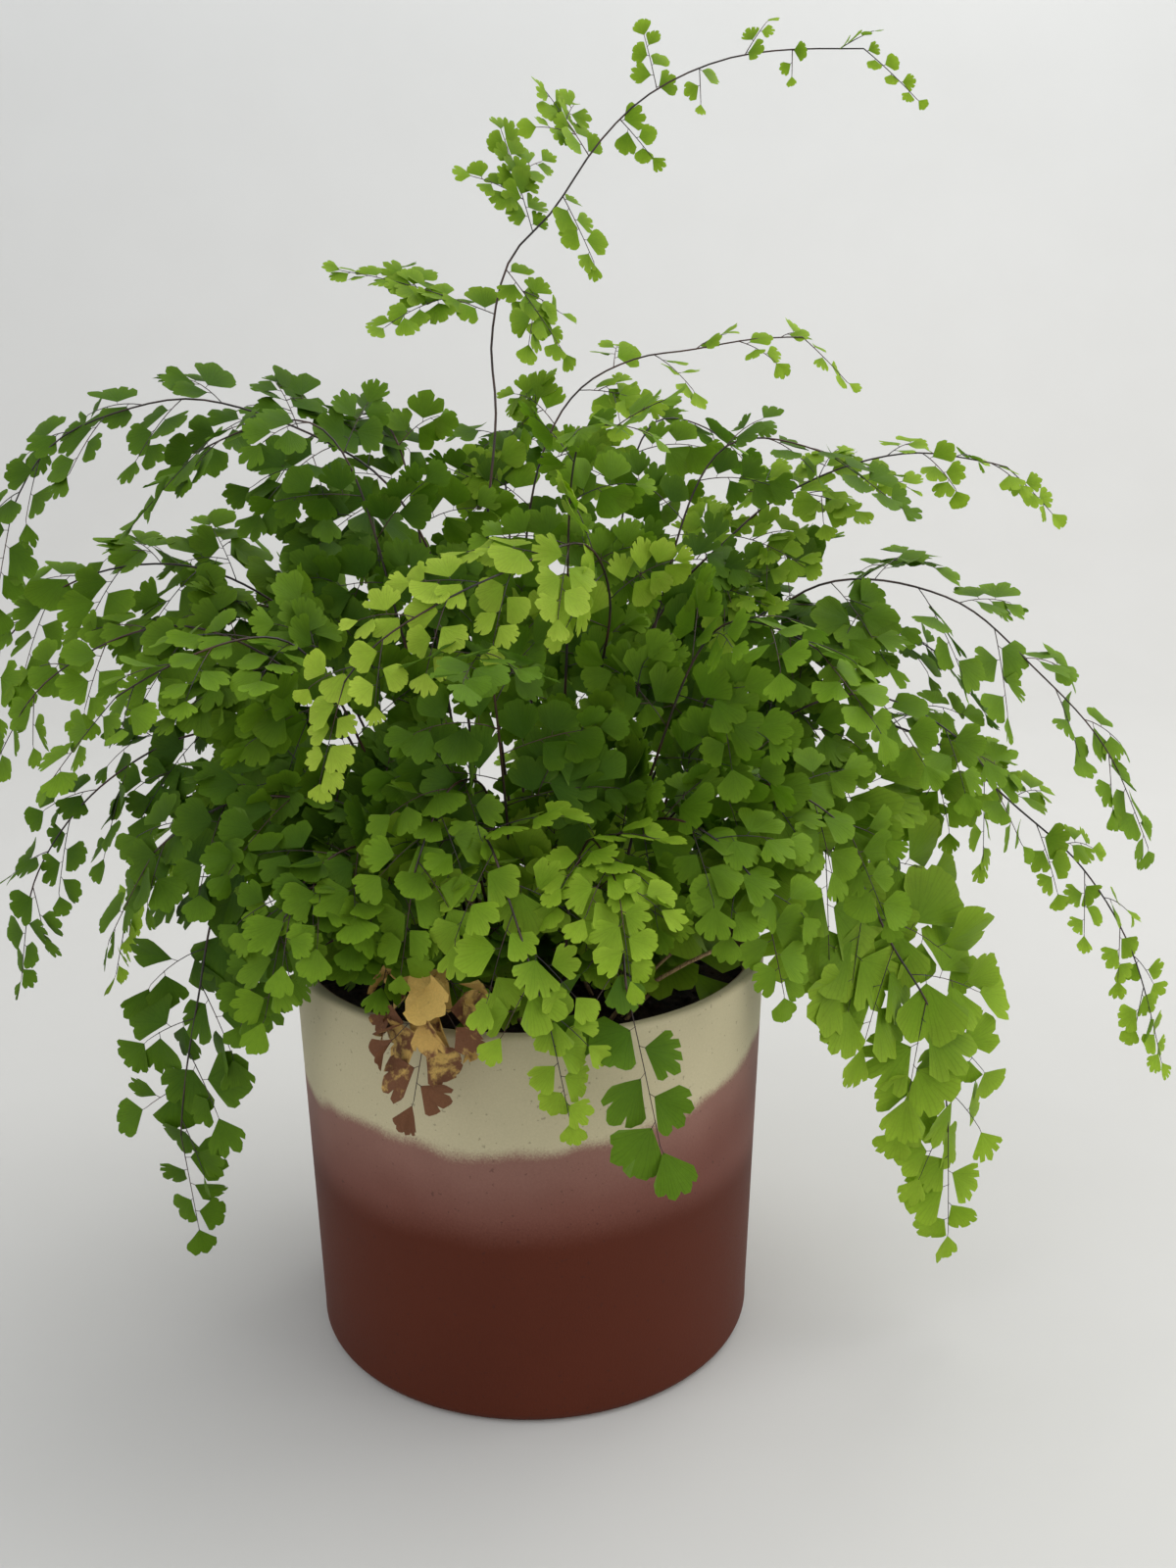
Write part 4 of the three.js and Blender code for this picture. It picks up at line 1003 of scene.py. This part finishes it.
def leaf_material(shade):
    """A satin surface with the tissue's colour and relief, and light that shines through."""
    material, place = new_material(f"leaf_{shade}")
    shaded, plain, fresh = LEAF_SHADES[shade]
    blade = node("ShaderNodeUVMap", tree=material.node_tree, uv_map="blade")[0]
    tissue = node("ShaderNodeGroup", {
        "Shaded": shaded, "Plain": plain, "Fresh": fresh, "Facts": facts_of(material),
        "Place": place, "Blade": blade}, node_tree=LEAF_TISSUE)
    surface = surface_of(tissue["Colour"], tissue["Roughness"], gloss=0.16,
                         relief=tissue["Relief"], bump=0.30, depth=0.00025)
    glow = blend_of(1.0, tissue["Colour"], GLOW_TINT, "MULTIPLY")
    return let_through(material, surface, glow, LEAF_THROUGH)


def withered_material():
    """Dry leaf: straw yellow that turns to crisp brown in blotches and towards the tip."""
    material, place = new_material("leaf_withered")
    tint, age, _ = parts_of(facts_of(material), "Color")
    blotch = noise_of(place, 230.0, 4.0, 0.6)
    dead = 1.15 * age + 1.6 * (blotch - 0.5)
    colour = blend_of(tint, STRAW_YELLOW, STRAW_OCHRE)
    colour = blend_of(ramp_of(dead, 0.58, 0.88), colour, DEAD_BROWN)
    colour, grain = mottled(colour, place, 1500.0, darkest=0.78, spread=0.40)
    surface = surface_of(colour, 0.72, gloss=0.25, relief=blotch + grain, bump=0.6,
                         depth=0.0005)
    return let_through(material, surface, colour, WITHERED_THROUGH)


# ---- Fronds: stems ----
# Hard, polished and nearly black with patches of red-brown, as thick as a piece of wire at the
# soil and hair-thin at the leaflets.
STEM_RADIUS = 0.00075
TIP_RADIUS = 0.00021
RIB_RADIUS = 0.00019
STALK_RADIUS = 0.00011
STEM_STATIONS, STEM_SIDES = 56, 7
RIB_STATIONS, RIB_SIDES = 7, 5
STALK_SIDES = 4
STEM_BLACK = (0.012, 0.007, 0.006, 1)
STEM_RED = (0.060, 0.022, 0.012, 1)
PLAIN_GLOSS = 0.5


def tubes(paths, radii, sides, steady):
    """Closed round tubes: a circle of the given radius is carried along each path.

    Its plane is square to the path, and its first corner points as near as it can to steady.
    """
    count, stations = paths.shape[:2]
    heading = unit(np.gradient(paths, axis=1))
    first = unit(np.cross(heading, steady))
    second = np.cross(heading, first)
    angle = np.linspace(0, 2 * np.pi, sides, endpoint=False)
    circle = (first[:, :, None] * np.cos(angle)[:, None]
              + second[:, :, None] * np.sin(angle)[:, None])
    rings = paths[:, :, None] + circle * radii[:, :, None, None]
    points = np.concatenate([rings.reshape(count, -1, 3), paths[:, :1], paths[:, -1:]], 1)
    return repeated(points, *round_faces(stations, sides))


def stem_mesh(frond, route, branch, leaflets):
    """The stem, thinner towards its tip, with its branches' ribs and the leaflets' stalks."""
    share = np.linspace(0, 1 - frond.row * frond.leaf * MM / route.length, STEM_STATIONS)
    main = route.at(share)[None]
    thick = (STEM_RADIUS + (TIP_RADIUS - STEM_RADIUS) * share ** 0.8)[None]
    sweep = np.array([*(main[0, -1, :2] - main[0, 0, :2]), 0.0])
    count, reach = len(branch["length"]), np.linspace(0, RIB_END, RIB_STATIONS)
    which = np.repeat(np.arange(count), RIB_STATIONS)
    ribs = along_branch(branch, which, np.tile(reach, count))[0].reshape(count, -1, 3)
    slim = np.tile(RIB_RADIUS * (1 - 0.4 * reach), (count, 1))
    out = np.array([-0.02, STALK_SHARE * 0.5, STALK_SHARE + 0.05])
    stalks = (leaflets["rib"][:, None]
              + leaflets["axis"][:, None] * (leaflets["size"][:, None] * out)[..., None])
    hair = np.full(stalks.shape[:2], STALK_RADIUS)
    return joined([tubes(main, thick, STEM_SIDES, unit(np.cross(sweep, [0, 0, 1.0]))),
                   tubes(ribs, slim, RIB_SIDES, unit(np.array([0.31, 0.86, 0.40]))),
                   tubes(stalks, hair, STALK_SIDES, unit(np.array([0.52, 0.23, 0.82])))])


def stem_material():
    """Black-brown with a polish; redder where noise thins the colour, with a fine noise relief."""
    material, place = new_material("wiry_stem")
    patch = noise_of(place, 60.0, 3.0)
    colour = blend_of(ramp_of(patch, 0.35, 0.75), STEM_BLACK, STEM_RED)
    return finished(material, surface_of(colour, 0.26 + 0.2 * patch, PLAIN_GLOSS, bump=0.3,
                                         depth=0.0001, relief=noise_of(place, 2400.0)))


# ---- Fronds: growing them ----
# Each frond is a stem piece and a leaf piece in one place, and both stand for its solid. The
# withered one hangs over the front of the rim, its leaflets dry, folded and shrunken.
LEAF_CREASE = math.radians(70)
leaf_materials = {shade: leaf_material(shade) for shade in LEAF_SHADES}
leaf_materials["withered"] = withered_material()
wire = stem_material()

for key, frond in enumerate(NAMED_FRONDS + [other_frond(n) for n in range(OTHER_FRONDS)]):
    route = stem_route(frond)
    branch = branches_of(frond, route, key)
    grown = (branch, twigs_of(frond, branch), low_branches_of(frond, route, key))
    branch = {fact: np.concatenate([part[fact] for part in grown]) for fact in branch}
    leaflets = leaflets_of(frond, branch, key)
    fans = leaflet_mesh(leaflets, wither=float(frond.shade == "withered"))
    leaves = mesh_object(f"frond_{frond.name}_leaves", leaf_materials[frond.shade], *fans,
                         sharp=LEAF_CREASE)
    paint_leaflets(leaves, leaflets)
    stem = mesh_object(f"frond_{frond.name}_stem", wire,
                       *stem_mesh(frond, route, branch, leaflets))
    for piece in (leaves, stem):
        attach(piece, "root")
        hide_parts(f"frond_{frond.name}")


# ---- Old stalks ----
# What is left of earlier fronds: straw-coloured, dry stubs that stand and lean in the soil.
STALKS = 22
STALKS_WITHIN = 0.062
STALK_DEPTH = 0.004
STALK_LENGTH, LENGTH_MORE = 0.014, 0.024
STALK_THICK, THICK_MORE = 0.0005, 0.0005
STALK_LEAN = 1.1
STRAW = (0.42, 0.28, 0.13, 1)
STRAW_DARK = (0.17, 0.095, 0.045, 1)


def old_stalks(count):
    """Short tubes at random places in the soil, each bent a little further as it rises."""
    pick = np.random.default_rng(23)
    radius, angle = STALKS_WITHIN * np.sqrt(pick.random(count)), 2 * np.pi * pick.random(count)
    foot = np.stack([radius * np.cos(angle), radius * np.sin(angle),
                     soil_height(radius) - STALK_DEPTH], 1)
    lean = pick.random((count, 2)) * STALK_LEAN - STALK_LEAN / 2
    rise = np.linspace(0, 1, 6)[None, :, None]
    length = (STALK_LENGTH + LENGTH_MORE * pick.random(count))[:, None, None]
    out = np.concatenate([lean, np.ones((count, 1))], 1)[:, None]
    bend = np.concatenate([lean, np.zeros((count, 1))], 1)[:, None]
    paths = foot[:, None] + length * (out * rise + bend * rise ** 2)
    thick = (STALK_THICK + THICK_MORE * pick.random(count))[:, None]
    return tubes(paths, thick * (1 - 0.3 * rise[:, :, 0]), 6, unit(np.array([0.9, 0.3, 0.1])))


def straw_material():
    """Dry straw: tan with long darker streaks and a dull surface."""
    material, place = new_material("dry_straw")
    along = node("ShaderNodeMapping", {"Vector": place, "Scale": (1, 1, 0.1)})[0]
    streak = noise_of(along, 1800.0, 3.0)
    colour = blend_of(ramp_of(streak, 0.35, 0.7), STRAW, STRAW_DARK)
    return finished(material, surface_of(colour, 0.6 + 0.25 * streak, PLAIN_GLOSS,
                                         relief=streak, bump=0.4, depth=0.0002))


stalks = mesh_object("old_stalks", straw_material(), *old_stalks(STALKS))
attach(stalks, "root")
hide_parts("soil")

# ---- Floor and light ----
# A pale floor that curves up into a backdrop. One wide soft light stands above and behind to the
# right, one to the right in front like a window, and a weak one to the left.
FLOOR_HALF = 3.0
FLOOR_FRONT = -2.0
BACK_AT = 1.0
BACK_ROUND = 0.7
BACK_HEIGHT = 2.6
FLOOR_GREY = (0.565, 0.560, 0.545, 1)
# the paler colour of the wall higher up is painted light
BACKDROP_PAINTED_LIGHT = (0.71, 0.715, 0.71, 1)
LIGHTS = [  # name, place, target, size, power and colour
    ("key_light", (0.9, 0.5, 1.7), (0, 0, 0.2), 1.6, 21.0, (1.0, 0.985, 0.95)),
    ("window_light", (1.6, -0.7, 0.9), (0, 0, 0.15), 1.2, 9.0, (1.0, 0.99, 0.96)),
    ("side_light", (-1.3, -0.9, 1.2), (0, 0, 0.2), 1.4, 5.0, (0.97, 0.985, 1.0)),
]
SKY_COLOUR = (0.97, 0.985, 1.0, 1)
SKY_POWER = 0.79


def sweep_of_floor():
    """The floor's line from front to back, a quarter circle and the wall, carried along X."""
    line = np.vstack([stretch((FLOOR_FRONT, 0), (BACK_AT, 0), steps=8),
                      arc((BACK_AT, BACK_ROUND), BACK_ROUND, -90, 0, steps=16),
                      [[BACK_AT + BACK_ROUND, BACK_HEIGHT]]])
    across = np.array([-FLOOR_HALF, FLOOR_HALF])
    points = np.stack([np.tile(across, len(line)), np.repeat(line[:, 0], 2),
                       np.repeat(line[:, 1], 2)], 1)
    row = 2 * np.arange(len(line) - 1)
    return points, np.stack([row, row + 1, row + 3, row + 2], 1), np.zeros((0, 3), dtype=int)


def floor_material():
    """Matt off-white paper with the faintest mottling, and painted light that makes the wall paler
    higher up.
    """
    material, place = new_material("pale_floor")
    height = parts_of(place)[2]
    # painted light: the colour pales with height up the wall, as if more light fell there
    tone = 0.2 * noise_of(place, 9.0, 3.0) + ramp_of(height, 0.0, 1.0)
    colour = blend_of(tone, FLOOR_GREY, BACKDROP_PAINTED_LIGHT)
    return finished(material, surface_of(colour, 0.9, gloss=0.1))


floor = mesh_object("floor", floor_material(), *sweep_of_floor())

for name, place, target, size, power, colour in LIGHTS:
    light = bpy.data.objects.new(name, bpy.data.lights.new(name, "AREA"))
    bpy.context.scene.collection.objects.link(light)
    x, y, z = np.array(target) - np.array(place)
    light.location = place
    light.rotation_euler = (math.atan2(math.hypot(x, y), -z), 0, math.atan2(-x, y))
    light.data.shape, light.data.size = "SQUARE", size
    light.data.energy, light.data.color = power, colour

world = bpy.data.worlds.new("studio")
world.use_nodes = True
background = world.node_tree.nodes["Background"].inputs
background[0].default_value, background[1].default_value = SKY_COLOUR, SKY_POWER
bpy.context.scene.world = world
bpy.context.scene.view_settings.view_transform = "Standard"
